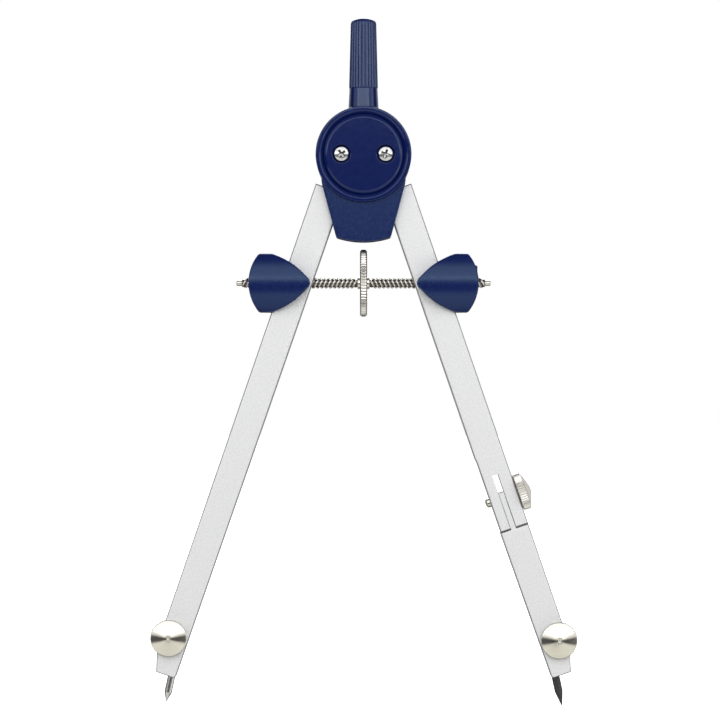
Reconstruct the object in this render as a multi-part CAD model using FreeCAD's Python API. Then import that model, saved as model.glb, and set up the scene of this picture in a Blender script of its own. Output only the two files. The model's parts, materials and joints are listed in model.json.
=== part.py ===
import FreeCAD, Part
import math
import os

from FreeCAD import Vector

# Drawing compass: a centre-wheel bow compass with a geared head.
# Frame: +Z up along the handle, the front faces -Y, the legs open along X.
# The origin is on the paper, midway between the two points. Millimetres.

# ---- driving dimensions ----------------------------------------------------
OVERALL_HEIGHT = 169.8     # paper to the top of the handle
PIVOT_X = 5.45             # half the distance between the two leg pivots
LEAN = 19.0                # each leg's angle from vertical, degrees
RUNNING_GAP = 0.05         # radial clearance of a running fit
FACE_GAP = 0.15            # clearance between faces that pass each other
EPS = 0.01                 # run-out of a cutting tool past a face

# leg, in its own frame: pivot at the origin, n outward along X, s down along -Z
LEG_WIDTH = 7.3
LEG_DEPTH = 5.0
LEG_EDGE = 0.5             # rounded long edges
TONGUE_DEPTH = 3.0         # the thin top of the leg, inside the head
SHOULDER_S = 8.8           # the full-depth bar starts here
TONGUE_TAPER_S = 5.5       # from here to the shoulder the tongue's outer edge slopes in
TONGUE_WAIST_N = 2.0
TRUNNION_S = 33.5          # pivot to the spindle nut
FOOT_S = 135.6             # pivot to the end of the bar
HALF_WIDTH = LEG_WIDTH / 2
HALF_DEPTH = LEG_DEPTH / 2

# gear sectors that make the legs open together
GEAR_TEETH = 18            # of a full circle
GEAR_MODULE = 2 * PIVOT_X / GEAR_TEETH
PRESSURE_ANGLE = 20.0
GEAR_BACKLASH = 0.08
GEAR_TIP_R = PIVOT_X + 0.60
GEAR_ROOT_R = PIVOT_X - 0.70
TOOTH_PITCH = 360.0 / GEAR_TEETH
FLANK_STEPS = 4

# head
HEAD_R = 11.8
HEAD_HALF = 5.2            # half the head's thickness
SKIRT_HALF = 4.3           # half the thickness over the skirt plates
SKIRT_TAPER = 15.0         # the skirt's sides, degrees from vertical
SKIRT_R = 21.5             # the skirt's bottom edge, an arc about the head's centre
SKIRT_CORNER = 1.2
SHELL_INNER = HALF_DEPTH + FACE_GAP
WALL_R = 10.3              # inside of the rim wall
WALL_END = -0.8            # the rim wall stops here, just under the pivots
RIM_ROUND = 0.65
EDGE_ROUND = 0.35
COVER_R = 9.9
COVER_SEAT = 3.9           # depth of the cover disc's seat
COVER_TOP = 5.35
COVER_FLAT_R = 9.1
COVER_BEVEL = 0.7
GROOVE_R = 10.85           # the seat opens out to this radius round the cover disc
GROOVE_DEPTH = 0.75
BOSS_R = 3.5
WASHER_T = 0.25
WASHER_GAP = 0.03
BOSS_FACE = TONGUE_DEPTH / 2 + WASHER_GAP + WASHER_T
NECK_BLOCK_HALF = 5.2      # solid block that holds the handle's tang
NECK_BLOCK_FOOT = 7.6

# pivot screws, M2.5 pan head, with sleeves and hexagon nuts
SCREW_R = 1.25
SCREW_HEAD_R = 1.9
SCREW_HEAD_T = 0.95
SCREW_SEAT = 4.4
COUNTERBORE_R = 2.28
SLEEVE_R = 2.0
CROSS_WIDTH = 0.62
CROSS_LENGTH = 2.3
CROSS_DEPTH = 0.6
CROSS_TURN = (35.0, -20.0)
NUT_FLATS = 5.0
NUT_T = 1.6

# handle, heights above the head's centre
TANG_R = 2.1
TANG_FLANGE_R = 3.0
TANG_FLANGE_T = 1.0
TANG_FOOT = 8.2
NECK_FOOT = 10.5
NECK_FOOT_R = 3.78
NECK_TOP = 16.5
NECK_TOP_R = 3.46
GRIP_FOOT_R = 3.58
GRIP_TOP_R = 3.18
GRIP_DOME = 1.5
FLUTES = 28
FLUTE_DEPTH = 0.2

# spindle and its parts
SPINDLE_HALF = 31.45
SPINDLE_R = 1.35
THREAD_ROOT_R = 1.02
THREAD_PITCH = 1.055
THREADS = 27               # ridges on each side of the wheel
SPINDLE_TIP_R = 0.7
COLLAR_R = 1.5
COLLAR_HALF = 1.5
WHEEL_R = 8.3
WHEEL_T = 1.75
WHEEL_CHAMFER = 0.45
WHEEL_TEETH = 64
KNURL_DEPTH = 0.22
BARREL_R = 2.3
BARREL_EMBED = 1.2         # how far the nut's ends go into the housing shells
SLOT_HALF_DEPTH = 1.55     # the leg's window for the spindle
SLOT_HALF_HEIGHT = 3.6

# nut housings, in the nut's frame: x outward, z up, level with the spindle
HOUSING_TOP = 7.27
HOUSING_FLAT = (9.4, 6.2)  # the short flat edge runs between these x
HOUSING_OUTER = 11.9
HOUSING_SIDE_MID = (1.52, 4.96)
HOUSING_SIDE_END = (-2.4, 1.5)
HOUSING_APEX = -3.2
HOUSING_CROWN = 6.6        # greatest depth, over the spindle
HOUSING_EDGE_Y = 3.5       # depth at the top and bottom edges
HOUSING_WALL_X = 8.1       # the end wall starts here
SPINDLE_HOLE_R = 1.6
LUG_SIZE = (1.6, 1.4, 3.0)
LUG_TOP = 4.6
LUG_OUTER = 11.85

# knurled clamp screws
KNOB_R = 4.6
KNOB_RIM = 2.0
KNOB_HEIGHT = 3.28
KNOB_TEETH = 44
KNOB_RING_R = 0.56
KNOB_DIMPLE_R = 0.3
CLAMP_SHANK_R = 1.0
CLAMP_N = 1.4              # foot screw's place on the leg
NEEDLE_CLAMP_S = 126.5
LEAD_CLAMP_S = 127.1
CLAMP_TIP_Y = 2.9

# foot, where the needle or the lead goes in
FOOT_FACET_S = 129.1
FOOT_FACET_N = 1.7
FOOT_INNER_N = -3.3
FOOT_CORNER = 0.5
POINT_N = -2.2
POINT_TILT = 7.0           # the point leans inward from the leg by this, degrees
BORE_GAP = 0.03
BORE_DEPTH = 15.5
JAW_SLIT = 0.4
JAW_SLIT_TOP_S = 118.6
JAW_SLIT_N = 2.5
NEEDLE_R = 0.95
NEEDLE_OUT = 4.0
NEEDLE_CONE = 2.5
NEEDLE_POINT_R = 0.06
LEAD_R = 1.0
LEAD_OUT = 3.7
LEAD_BEVEL = 3.6
LEAD_EDGE = 0.08
POINT_IN = 12.0

# the pivots' height puts the lead's edge on the paper
LEAN_RAD = math.radians(LEAN)
POINT_RAD = math.radians(LEAN - POINT_TILT)
PIVOT_HEIGHT = (FOOT_S * math.cos(LEAN_RAD) - POINT_N * math.sin(LEAN_RAD)
                + (LEAD_OUT + LEAD_BEVEL) * math.cos(POINT_RAD))
GRIP_TOP = OVERALL_HEIGHT - PIVOT_HEIGHT

# fork joint in the right leg
FORK_END_S = 97.4
FORK_SLOT_S = 83.5
FORK_SLOT_N = (-0.95, 0.55)
FORK_RELIEF_S = 78.2
FORK_RELIEF = 0.15
TONGUE_TOP_S = 88.2
INSERT_TONGUE_N = (-0.85, 0.4)
INSERT_TONGUE_HALF = 2.45
INSERT_GAP = 0.1
FORK_SCREW_S = 89.65
FORK_SCREW_R = 1.2
FORK_SCREW_TIP_N = -4.7
NOTCH_HALF = 1.35

FRONT = Vector(0, -1, 0)
BACK = Vector(0, 1, 0)
HEAD_CENTRE = Vector(0, 0, PIVOT_HEIGHT)


# ---- small helpers ---------------------------------------------------------
def save(name, *solids):
    """Write one node; several solids make a group of identical pieces."""
    shape = solids[0] if len(solids) == 1 else Part.makeCompound(list(solids))
    shape.exportStep(os.path.join("parts", name + ".step"))


def solid_of(shape):
    """The one solid of a boolean result, with split faces merged."""
    return shape.removeSplitter().Solids[0]


def box(x, y, z):
    """A box given by its ranges along X, Y and Z."""
    return Part.makeBox(x[1] - x[0], y[1] - y[0], z[1] - z[0], Vector(x[0], y[0], z[0]))


def rod(radius, start, end):
    """A round bar from start to end."""
    return Part.makeCylinder(radius, (end - start).Length, start, end - start)


def turned(profile, origin, direction):
    """A turned piece from its (radius, height) profile, standing along direction."""
    wire = Part.makePolygon([Vector(r, 0, h) for r, h in profile + profile[:1]])
    shape = Part.Face(wire).revolve(Vector(), Vector(0, 0, 1), 360)
    turn = FreeCAD.Rotation(Vector(0, 0, 1), direction)
    shape.Placement = FreeCAD.Placement(origin, turn)
    return shape.Solids[0] if shape.Solids else Part.Solid(shape.Shells[0])


def slab(edges, y_from, y_to):
    """A plate cut to an outline of edges in the XZ plane, between two depths."""
    face = Part.Face(Part.Wire(edges))
    plate = face.extrude(Vector(0, y_to - y_from, 0))
    plate.translate(Vector(0, y_from, 0))
    return plate


def line(a, b):
    """A straight outline edge between two (x, z) points."""
    return Part.makeLine(Vector(a[0], 0, a[1]), Vector(b[0], 0, b[1]))


def arc(a, middle, b):
    """An outline arc from a to b through middle, all (x, z) points."""
    points = [Vector(p[0], 0, p[1]) for p in (a, middle, b)]
    return Part.Arc(*points).toShape()


def outline(points):
    """A closed straight-sided outline through (x, z) points."""
    return [line(a, b) for a, b in zip(points, points[1:] + points[:1])]


def flat_edges(shape, depth):
    """The edges that lie in the plane y = depth."""
    return [e for e in shape.Edges
            if abs(e.BoundBox.YMin - depth) < EPS and abs(e.BoundBox.YMax - depth) < EPS]


def polar(radius, degrees):
    """The (x, z) point at this radius and angle."""
    angle = math.radians(degrees)
    return radius * math.cos(angle), radius * math.sin(angle)


def toothed_outline(radius, depth, teeth):
    """A closed ring of points with straight V teeth."""
    step = 360.0 / teeth
    ring = []
    for i in range(teeth):
        ring.append(polar(radius, i * step))
        ring.append(polar(radius - depth, (i + 0.5) * step))
    return ring


def mirrored(shape):
    """The left-hand copy of a right-hand piece."""
    return shape.mirror(Vector(), Vector(1, 0, 0))


def on_leg(shape, side):
    """Move a piece from the leg's frame to its place at rest; side is 1 right, -1 left."""
    placed = mirrored(shape) if side < 0 else shape.copy()
    placed.rotate(Vector(), Vector(0, 1, 0), -side * LEAN)
    placed.translate(Vector(side * PIVOT_X, 0, PIVOT_HEIGHT))
    return placed


def on_nut(shape, side):
    """Move a piece from the nut's frame to its place at rest."""
    placed = mirrored(shape) if side < 0 else shape.copy()
    x = PIVOT_X + TRUNNION_S * math.sin(LEAN_RAD)
    z = PIVOT_HEIGHT - TRUNNION_S * math.cos(LEAN_RAD)
    placed.translate(Vector(side * x, 0, z))
    return placed


def on_head(shape):
    """Move a piece from the head's frame, centred between the pivots."""
    placed = shape.copy()
    placed.translate(HEAD_CENTRE)
    return placed


def to_back(shape):
    """Turn a front piece round Z into the matching back piece."""
    turned_piece = shape.copy()
    turned_piece.rotate(Vector(), Vector(0, 0, 1), 180)
    return turned_piece


# ---- head ------------------------------------------------------------------
def skirt_outline():
    """The skirt under the round head: two straight sides and an arc below."""
    taper = math.radians(SKIRT_TAPER)
    side_x = HEAD_R * math.cos(taper)
    side_z = -HEAD_R * math.sin(taper)
    # where the side line meets the bottom arc
    run = math.sqrt(SKIRT_R ** 2 - HEAD_R ** 2)
    low_x = side_x - run * math.sin(taper)
    low_z = side_z - run * math.cos(taper)
    return [
        line((-side_x, side_z), (side_x, side_z)),
        line((side_x, side_z), (low_x, low_z)),
        arc((low_x, low_z), (0, -SKIRT_R), (-low_x, low_z)),
        line((-low_x, low_z), (-side_x, side_z)),
    ]


def skirt_plate():
    """The skirt, with its lower corners and its front edge rounded."""
    plate = slab(skirt_outline(), -SKIRT_HALF, -SHELL_INNER)
    corners = [e for e in plate.Edges
               if e.BoundBox.YLength > 1 and e.BoundBox.ZMax < -HEAD_R]
    plate = plate.makeFillet(SKIRT_CORNER, corners)
    front = [e for e in flat_edges(plate, -SKIRT_HALF) if e.BoundBox.ZMin < -HEAD_R]
    return plate.makeFillet(EDGE_ROUND, front)


def rim_wall():
    """Half of the wall round the top of the head, up to the middle plane."""
    ring = rod(HEAD_R, Vector(0, -SHELL_INNER, 0), Vector())
    ring = ring.cut(rod(WALL_R, Vector(0, -HEAD_HALF, 0), Vector(0, 1, 0)))
    upper = box((-HEAD_R, HEAD_R), (-SHELL_INNER, 0), (WALL_END, HEAD_R))
    block = box((-NECK_BLOCK_HALF, NECK_BLOCK_HALF), (-SHELL_INNER, 0), (NECK_BLOCK_FOOT, HEAD_R))
    block = block.common(rod(WALL_R + EPS, Vector(0, -SHELL_INNER, 0), Vector()))
    return ring.common(upper).fuse(block)


def shell_body(handle):
    """What the front and the back shell have in common, as the front one."""
    disc = rod(HEAD_R, Vector(0, -HEAD_HALF, 0), Vector(0, -SHELL_INNER, 0))
    rim = [e for e in flat_edges(disc, -HEAD_HALF)]
    disc = disc.makeFillet(RIM_ROUND, rim)
    shell = disc.fuse(skirt_plate()).fuse(rim_wall())
    for side in (-1, 1):
        boss = rod(BOSS_R, Vector(side * PIVOT_X, -SHELL_INNER - EPS, 0),
                   Vector(side * PIVOT_X, -BOSS_FACE, 0))
        shell = shell.fuse(boss)
    for side in (-1, 1):
        hole = rod(SCREW_R + RUNNING_GAP, Vector(side * PIVOT_X, -HEAD_HALF - 1, 0),
                   Vector(side * PIVOT_X, 1, 0))
        shell = shell.cut(hole)
    return shell.cut(handle)


def head_front_shell(handle):
    """The front shell, with the seat for the cover disc and the bevelled groove round it."""
    seat_r = COVER_R + RUNNING_GAP
    seat = turned([(0, COVER_SEAT), (seat_r, COVER_SEAT), (seat_r, HEAD_HALF - GROOVE_DEPTH),
                   (GROOVE_R, HEAD_HALF), (GROOVE_R, HEAD_HALF + 1), (0, HEAD_HALF + 1)],
                  Vector(), FRONT)
    return solid_of(shell_body(handle).cut(seat))


def hexagon(flats, x, y_from, y_to):
    """A hexagonal block about a pivot screw."""
    corner = flats / 2 / math.cos(math.radians(30))
    ring = [(x + px, pz) for px, pz in (polar(corner, 60 * i) for i in range(6))]
    return slab(outline(ring), y_from, y_to)


def head_rear_shell(handle):
    """The rear shell: a flat back with two hexagonal nut pockets."""
    shell = to_back(shell_body(to_back(handle)))
    for side in (-1, 1):
        pocket = hexagon(NUT_FLATS + 2 * RUNNING_GAP, side * PIVOT_X,
                         HEAD_HALF - NUT_T - FACE_GAP, HEAD_HALF + 1)
        shell = shell.cut(pocket)
    return solid_of(shell)


def head_cover_disc():
    """The round front cover, bevelled, with two counterbored screw holes."""
    profile = [(0, COVER_SEAT), (COVER_R, COVER_SEAT), (COVER_R, COVER_TOP - COVER_BEVEL),
               (COVER_FLAT_R, COVER_TOP), (0, COVER_TOP)]
    disc = turned(profile, Vector(), FRONT)
    for side in (-1, 1):
        x = side * PIVOT_X
        disc = disc.cut(rod(SCREW_R + RUNNING_GAP, Vector(x, -COVER_TOP - 1, 0), Vector(x, 0, 0)))
        disc = disc.cut(rod(COUNTERBORE_R, Vector(x, -COVER_TOP - 1, 0), Vector(x, -SCREW_SEAT, 0)))
    return solid_of(disc)


def pivot_screw(side):
    """A pan-head cross-recess screw that a leg turns about."""
    head = [(0, SCREW_SEAT), (SCREW_HEAD_R, SCREW_SEAT), (SCREW_HEAD_R, SCREW_SEAT + 0.45),
            (1.45, SCREW_SEAT + 0.82), (0.8, SCREW_SEAT + SCREW_HEAD_T),
            (0, SCREW_SEAT + SCREW_HEAD_T)]
    screw = turned(head, Vector(side * PIVOT_X, 0, 0), FRONT)
    shank_end = Vector(side * PIVOT_X, HEAD_HALF - FACE_GAP, 0)
    screw = screw.fuse(rod(SCREW_R, Vector(side * PIVOT_X, -SCREW_SEAT, 0), shank_end))
    recess_floor = -SCREW_SEAT - SCREW_HEAD_T + CROSS_DEPTH
    for turn in (0, 90):
        slot = box((-CROSS_LENGTH / 2, CROSS_LENGTH / 2), (-HEAD_HALF - 1, recess_floor),
                   (-CROSS_WIDTH / 2, CROSS_WIDTH / 2))
        slot.rotate(Vector(), Vector(0, 1, 0), turn + CROSS_TURN[side > 0])
        slot.translate(Vector(side * PIVOT_X, 0, 0))
        screw = screw.cut(slot)
    return solid_of(screw)


def pivot_sleeve(side):
    """The sleeve round a pivot screw, the bearing that the leg turns on."""
    a = Vector(side * PIVOT_X, -BOSS_FACE, 0)
    b = Vector(side * PIVOT_X, BOSS_FACE, 0)
    return rod(SLEEVE_R, a, b).cut(rod(SCREW_R + RUNNING_GAP, a, b))


def friction_washer(side, back):
    """A thin washer between a leg's tongue and the head's boss."""
    start = TONGUE_DEPTH / 2 + WASHER_GAP
    a = Vector(side * PIVOT_X, back * start, 0)
    b = Vector(side * PIVOT_X, back * (start + WASHER_T), 0)
    return rod(BOSS_R, a, b).cut(rod(SLEEVE_R + RUNNING_GAP, a, b))


def pivot_nut(side):
    """The hexagon nut on a pivot screw, let into the rear shell."""
    top = HEAD_HALF - FACE_GAP
    nut = hexagon(NUT_FLATS, side * PIVOT_X, top - NUT_T, top)
    return nut.cut(rod(SCREW_R, Vector(side * PIVOT_X, 0, 0), Vector(side * PIVOT_X, HEAD_HALF, 0)))


def handle_grip():
    """The fluted handle with its smooth neck and the tang that the shells clamp."""
    stem = [(0, TANG_FOOT), (TANG_FLANGE_R, TANG_FOOT), (TANG_FLANGE_R, TANG_FOOT + TANG_FLANGE_T),
            (TANG_R, TANG_FOOT + TANG_FLANGE_T), (TANG_R, NECK_FOOT), (NECK_FOOT_R, NECK_FOOT),
            (NECK_TOP_R, NECK_TOP), (0, NECK_TOP)]
    stem = turned(stem, Vector(), Vector(0, 0, 1))
    rings = []
    for radius, height in ((GRIP_FOOT_R, NECK_TOP), (GRIP_TOP_R, GRIP_TOP)):
        ring = toothed_outline(radius, FLUTE_DEPTH, FLUTES)
        rings.append(Part.makePolygon([Vector(x, y, height) for x, y in ring + ring[:1]]))
    grip = Part.makeLoft(rings, True, True)
    limit = rod(GRIP_FOOT_R + 1, Vector(0, 0, NECK_TOP), Vector(0, 0, GRIP_TOP))
    crown = rod(GRIP_TOP_R, Vector(0, 0, NECK_TOP), Vector(0, 0, GRIP_TOP))
    top_edges = [e for e in crown.Edges if e.BoundBox.ZMin > GRIP_TOP - EPS]
    crown = crown.makeFillet(GRIP_DOME, top_edges)
    lower = rod(GRIP_FOOT_R + 1, Vector(0, 0, NECK_TOP), Vector(0, 0, GRIP_TOP - GRIP_DOME))
    grip = grip.common(limit).common(crown.fuse(lower))
    return solid_of(stem.fuse(grip))


# ---- legs ------------------------------------------------------------------
def involute(angle):
    """The involute of a pressure angle."""
    return math.tan(angle) - angle


def gear_tooth(degrees):
    """One tooth of the sector; degrees is measured up from straight inward."""
    base_r = PIVOT_X * math.cos(math.radians(PRESSURE_ANGLE))
    thickness = math.pi * GEAR_MODULE / 2 - GEAR_BACKLASH
    half_pitch = thickness / 2 / PIVOT_X + involute(math.radians(PRESSURE_ANGLE))
    flank = [(GEAR_ROOT_R - 0.5, half_pitch)]
    for i in range(FLANK_STEPS + 1):
        radius = base_r + (GEAR_TIP_R - base_r) * i / FLANK_STEPS
        flank.append((radius, half_pitch - involute(math.acos(base_r / radius))))
    ring = [polar(r, 180 - degrees + math.degrees(a)) for r, a in flank]
    ring += [polar(r, 180 - degrees - math.degrees(a)) for r, a in reversed(flank)]
    return slab(outline(ring), -TONGUE_DEPTH / 2, TONGUE_DEPTH / 2)


def gear_sector(first_tooth, tooth_count):
    """The toothed sector on the inward side of a leg's top."""
    low = first_tooth - TOOTH_PITCH / 2
    high = first_tooth + (tooth_count - 0.5) * TOOTH_PITCH
    a = polar(GEAR_ROOT_R, 180 - low)
    middle = polar(GEAR_ROOT_R, 180 - (low + high) / 2)
    b = polar(GEAR_ROOT_R, 180 - high)
    sector = slab([line((0, 0), a), arc(a, middle, b), line(b, (0, 0))],
                  -TONGUE_DEPTH / 2, TONGUE_DEPTH / 2)
    for i in range(tooth_count):
        sector = sector.fuse(gear_tooth(first_tooth + i * TOOTH_PITCH))
    return sector


def leg_top(first_tooth, tooth_count):
    """The thin tongue with its pivot hole and gear sector."""
    half = TONGUE_DEPTH / 2
    sides = [(-HALF_WIDTH, 0), (HALF_WIDTH, 0), (HALF_WIDTH, -TONGUE_TAPER_S), (TONGUE_WAIST_N, -SHOULDER_S),
             (TONGUE_WAIST_N, -SHOULDER_S - 1), (-HALF_WIDTH, -SHOULDER_S - 1)]
    tongue = slab(outline(sides), -half, half)
    tongue = tongue.fuse(rod(HALF_WIDTH, Vector(0, -half, 0), Vector(0, half, 0)))
    tongue = tongue.fuse(gear_sector(first_tooth, tooth_count))
    return tongue.cut(rod(SLEEVE_R + RUNNING_GAP, Vector(0, -half, 0), Vector(0, half, 0)))


def leg_bar(points):
    """A full-depth bar with its front and back edges rounded, from (n, s) points."""
    bar = slab(outline([(n, -s) for n, s in points]), -HALF_DEPTH, HALF_DEPTH)
    edges = flat_edges(bar, -HALF_DEPTH) + flat_edges(bar, HALF_DEPTH)
    return bar.makeFillet(LEG_EDGE, edges)


def foot_points():
    """The corners of the foot, from the outer side round to the inner side."""
    return [(HALF_WIDTH, FOOT_FACET_S), (FOOT_FACET_N, FOOT_S),
            (FOOT_INNER_N + FOOT_CORNER, FOOT_S), (FOOT_INNER_N, FOOT_S - FOOT_CORNER)]


def nut_window():
    """The round bore for the barrel nut and the slot that lets the spindle tilt."""
    bore = rod(BARREL_R + RUNNING_GAP, Vector(0, -HALF_DEPTH - 1, -TRUNNION_S),
               Vector(0, HALF_DEPTH + 1, -TRUNNION_S))
    slot = box((-LEG_WIDTH, LEG_WIDTH), (-SLOT_HALF_DEPTH, SLOT_HALF_DEPTH),
               (-TRUNNION_S - SLOT_HALF_HEIGHT, -TRUNNION_S + SLOT_HALF_HEIGHT))
    return bore.fuse(slot)


def point_place(distance):
    """A point on the needle's or lead's axis, this far out of the foot (or in, below 0)."""
    tilt = math.radians(POINT_TILT)
    return Vector(POINT_N - distance * math.sin(tilt), 0, -FOOT_S - distance * math.cos(tilt))


def foot_cuts(point_r, clamp_s):
    """The holes of a foot: the point's bore, the clamp screw's hole and the jaw slit."""
    bore = rod(point_r + BORE_GAP, point_place(-BORE_DEPTH), point_place(2))
    hole = rod(CLAMP_SHANK_R + RUNNING_GAP, Vector(CLAMP_N, -HALF_DEPTH - 1, -clamp_s),
               Vector(CLAMP_N, HALF_DEPTH + 1, -clamp_s))
    slit = box((-LEG_WIDTH, JAW_SLIT_N), (-JAW_SLIT / 2, JAW_SLIT / 2),
               (-FOOT_S - 1, -JAW_SLIT_TOP_S))
    return bore.fuse(hole).fuse(slit)


def left_leg():
    """The needle leg, one bar from the head to its foot."""
    bar = leg_bar([(-HALF_WIDTH, SHOULDER_S), (HALF_WIDTH, SHOULDER_S)] + foot_points())
    leg = bar.fuse(leg_top(-TOOTH_PITCH, 4))
    leg = leg.cut(nut_window()).cut(foot_cuts(NEEDLE_R, NEEDLE_CLAMP_S))
    return solid_of(leg)


def right_leg():
    """The lead leg, down to the fork that takes the lower leg."""
    inner = -HALF_WIDTH
    bar = leg_bar([(inner, SHOULDER_S), (HALF_WIDTH, SHOULDER_S), (HALF_WIDTH, FORK_END_S),
                   (inner + FORK_RELIEF, FORK_END_S), (inner + FORK_RELIEF, FORK_RELIEF_S + 1),
                   (inner, FORK_RELIEF_S)])
    leg = bar.fuse(leg_top(-1.5 * TOOTH_PITCH, 5))
    slot = box(FORK_SLOT_N, (-LEG_DEPTH, LEG_DEPTH), (-FORK_END_S - 1, -FORK_SLOT_S))
    hole = rod(FORK_SCREW_R + RUNNING_GAP, Vector(-LEG_WIDTH, 0, -FORK_SCREW_S),
               Vector(LEG_WIDTH, 0, -FORK_SCREW_S))
    return solid_of(leg.cut(nut_window()).cut(slot).cut(hole))


def lower_leg_insert():
    """The removable lower leg: a blade that slides into the fork, and the lead foot."""
    top = FORK_END_S + INSERT_GAP
    bar = leg_bar([(-HALF_WIDTH, top), (HALF_WIDTH, top)] + foot_points())
    blade = box(INSERT_TONGUE_N, (-INSERT_TONGUE_HALF, INSERT_TONGUE_HALF), (-top - 1, -TONGUE_TOP_S))
    notch = box((-LEG_WIDTH, LEG_WIDTH), (-NOTCH_HALF, NOTCH_HALF), (-FORK_SCREW_S, -TONGUE_TOP_S + 1))
    notch_end = rod(NOTCH_HALF, Vector(-LEG_WIDTH, 0, -FORK_SCREW_S), Vector(LEG_WIDTH, 0, -FORK_SCREW_S))
    blade = blade.cut(notch).cut(notch_end)
    return solid_of(bar.fuse(blade).cut(foot_cuts(LEAD_R, LEAD_CLAMP_S)))


# ---- screws and points -----------------------------------------------------
def knob(base, direction):
    """A knurled screw head with a coned face and a dimple in its middle."""
    teeth = slab(outline(toothed_outline(KNOB_R, KNURL_DEPTH, KNOB_TEETH)), 0, KNOB_HEIGHT)
    teeth.rotate(Vector(), Vector(1, 0, 0), 90)
    edge = KNURL_DEPTH
    profile = [(0, 0), (KNOB_R - edge, 0), (KNOB_R, edge), (KNOB_R, KNOB_RIM - edge),
               (KNOB_R - edge, KNOB_RIM), (KNOB_RING_R, KNOB_HEIGHT), (KNOB_DIMPLE_R, KNOB_HEIGHT),
               (0, KNOB_HEIGHT - KNOB_DIMPLE_R)]
    shape = turned(profile, Vector(), Vector(0, 0, 1)).common(teeth)
    shape.Placement = FreeCAD.Placement(base, FreeCAD.Rotation(Vector(0, 0, 1), direction))
    return shape


def round_end(radius, start, end):
    """A shank from start to end, with its far edge rounded off."""
    direction = (end - start).normalize()
    length = (end - start).Length
    edge = radius / 2
    profile = [(0, 0), (radius, 0), (radius, length - edge), (radius - edge, length), (0, length)]
    return turned(profile, start, direction)


def foot_clamp_screw(clamp_s):
    """The knurled screw that pinches the needle or the lead in the foot."""
    base = Vector(CLAMP_N, -HALF_DEPTH - FACE_GAP, -clamp_s)
    shank = round_end(CLAMP_SHANK_R, base, Vector(CLAMP_N, CLAMP_TIP_Y, -clamp_s))
    return solid_of(knob(base, FRONT).fuse(shank))


def fork_clamp_screw():
    """The knurled screw across the fork that holds the lower leg."""
    base = Vector(HALF_WIDTH + FACE_GAP, 0, -FORK_SCREW_S)
    shank = round_end(FORK_SCREW_R, base, Vector(FORK_SCREW_TIP_N, 0, -FORK_SCREW_S))
    return solid_of(knob(base, Vector(1, 0, 0)).fuse(shank))


def needle():
    """The steel needle with its cone point."""
    length = POINT_IN + NEEDLE_OUT
    profile = [(0, 0), (NEEDLE_R, 0), (NEEDLE_R, length), (NEEDLE_POINT_R, length + NEEDLE_CONE),
               (0, length + NEEDLE_CONE)]
    start = point_place(-POINT_IN)
    return turned(profile, start, point_place(1) - point_place(0))


def lead():
    """The graphite lead, sanded from both sides to a chisel edge."""
    length = POINT_IN + LEAD_OUT + LEAD_BEVEL
    shape = rod(LEAD_R, Vector(), Vector(0, 0, -length))
    for side in (-1, 1):
        wedge = [(side * LEAD_R, -length + LEAD_BEVEL), (side * LEAD_EDGE, -length),
                 (side * LEAD_EDGE, -length - 1), (side * 2 * LEAD_R, -length - 1),
                 (side * 2 * LEAD_R, -length + LEAD_BEVEL)]
        shape = shape.cut(slab(outline(wedge), -2 * LEAD_R, 2 * LEAD_R))
    shape = solid_of(shape)
    shape.rotate(Vector(), Vector(0, 1, 0), POINT_TILT)
    shape.translate(point_place(-POINT_IN))
    return shape


# ---- spindle ---------------------------------------------------------------
def threaded_spindle():
    """The spindle: a plain collar in the middle and a thread on each side."""
    ridge = THREAD_PITCH / 2
    half = [(0, 0), (COLLAR_R, 0), (COLLAR_R, COLLAR_HALF)]
    for i in range(THREADS):
        start = COLLAR_HALF + i * THREAD_PITCH
        half.append((THREAD_ROOT_R, start))
        half.append((SPINDLE_R, start + ridge))
    end = COLLAR_HALF + THREADS * THREAD_PITCH
    half += [(THREAD_ROOT_R, end), (SPINDLE_TIP_R, end), (SPINDLE_TIP_R, SPINDLE_HALF), (0, SPINDLE_HALF)]
    right = turned(half, Vector(), Vector(1, 0, 0))
    return solid_of(right.fuse(mirrored(right)))


def center_wheel():
    """The knurled centre wheel that opens and closes the legs."""
    teeth = slab(outline(toothed_outline(WHEEL_R, KNURL_DEPTH, WHEEL_TEETH)), 0, WHEEL_T)
    teeth.rotate(Vector(), Vector(1, 0, 0), 90)
    rim = WHEEL_R - WHEEL_CHAMFER
    bore = COLLAR_R + RUNNING_GAP
    profile = [(bore, 0), (rim, 0), (WHEEL_R, WHEEL_CHAMFER), (WHEEL_R, WHEEL_T - WHEEL_CHAMFER),
               (rim, WHEEL_T), (bore, WHEEL_T)]
    wheel = turned(profile, Vector(), Vector(0, 0, 1)).common(teeth)
    wheel.rotate(Vector(), Vector(0, 1, 0), 90)
    wheel.translate(Vector(-WHEEL_T / 2, 0, 0))
    return solid_of(wheel)


def barrel_nut():
    """The cross-drilled nut that turns in the leg and rides on the spindle."""
    reach = SHELL_INNER + BARREL_EMBED
    barrel = rod(BARREL_R, Vector(0, -reach, 0), Vector(0, reach, 0))
    return barrel.cut(rod(SPINDLE_R + RUNNING_GAP, Vector(-LEG_WIDTH, 0, 0), Vector(LEG_WIDTH, 0, 0)))


def housing_outline():
    """The shield shape of a housing: convex outer end, curved sides, rounded apex."""
    side_x, side_z = HOUSING_SIDE_END
    mid_x, mid_z = HOUSING_SIDE_MID
    outer_x, flat_x = HOUSING_FLAT
    top = HOUSING_TOP
    return [
        line((outer_x, top), (flat_x, top)),
        arc((flat_x, top), (mid_x, mid_z), (side_x, side_z)),
        arc((side_x, side_z), (HOUSING_APEX, 0), (side_x, -side_z)),
        arc((side_x, -side_z), (mid_x, -mid_z), (flat_x, -top)),
        line((flat_x, -top), (outer_x, -top)),
        arc((outer_x, -top), (HOUSING_OUTER, 0), (outer_x, top)),
    ]


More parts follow.
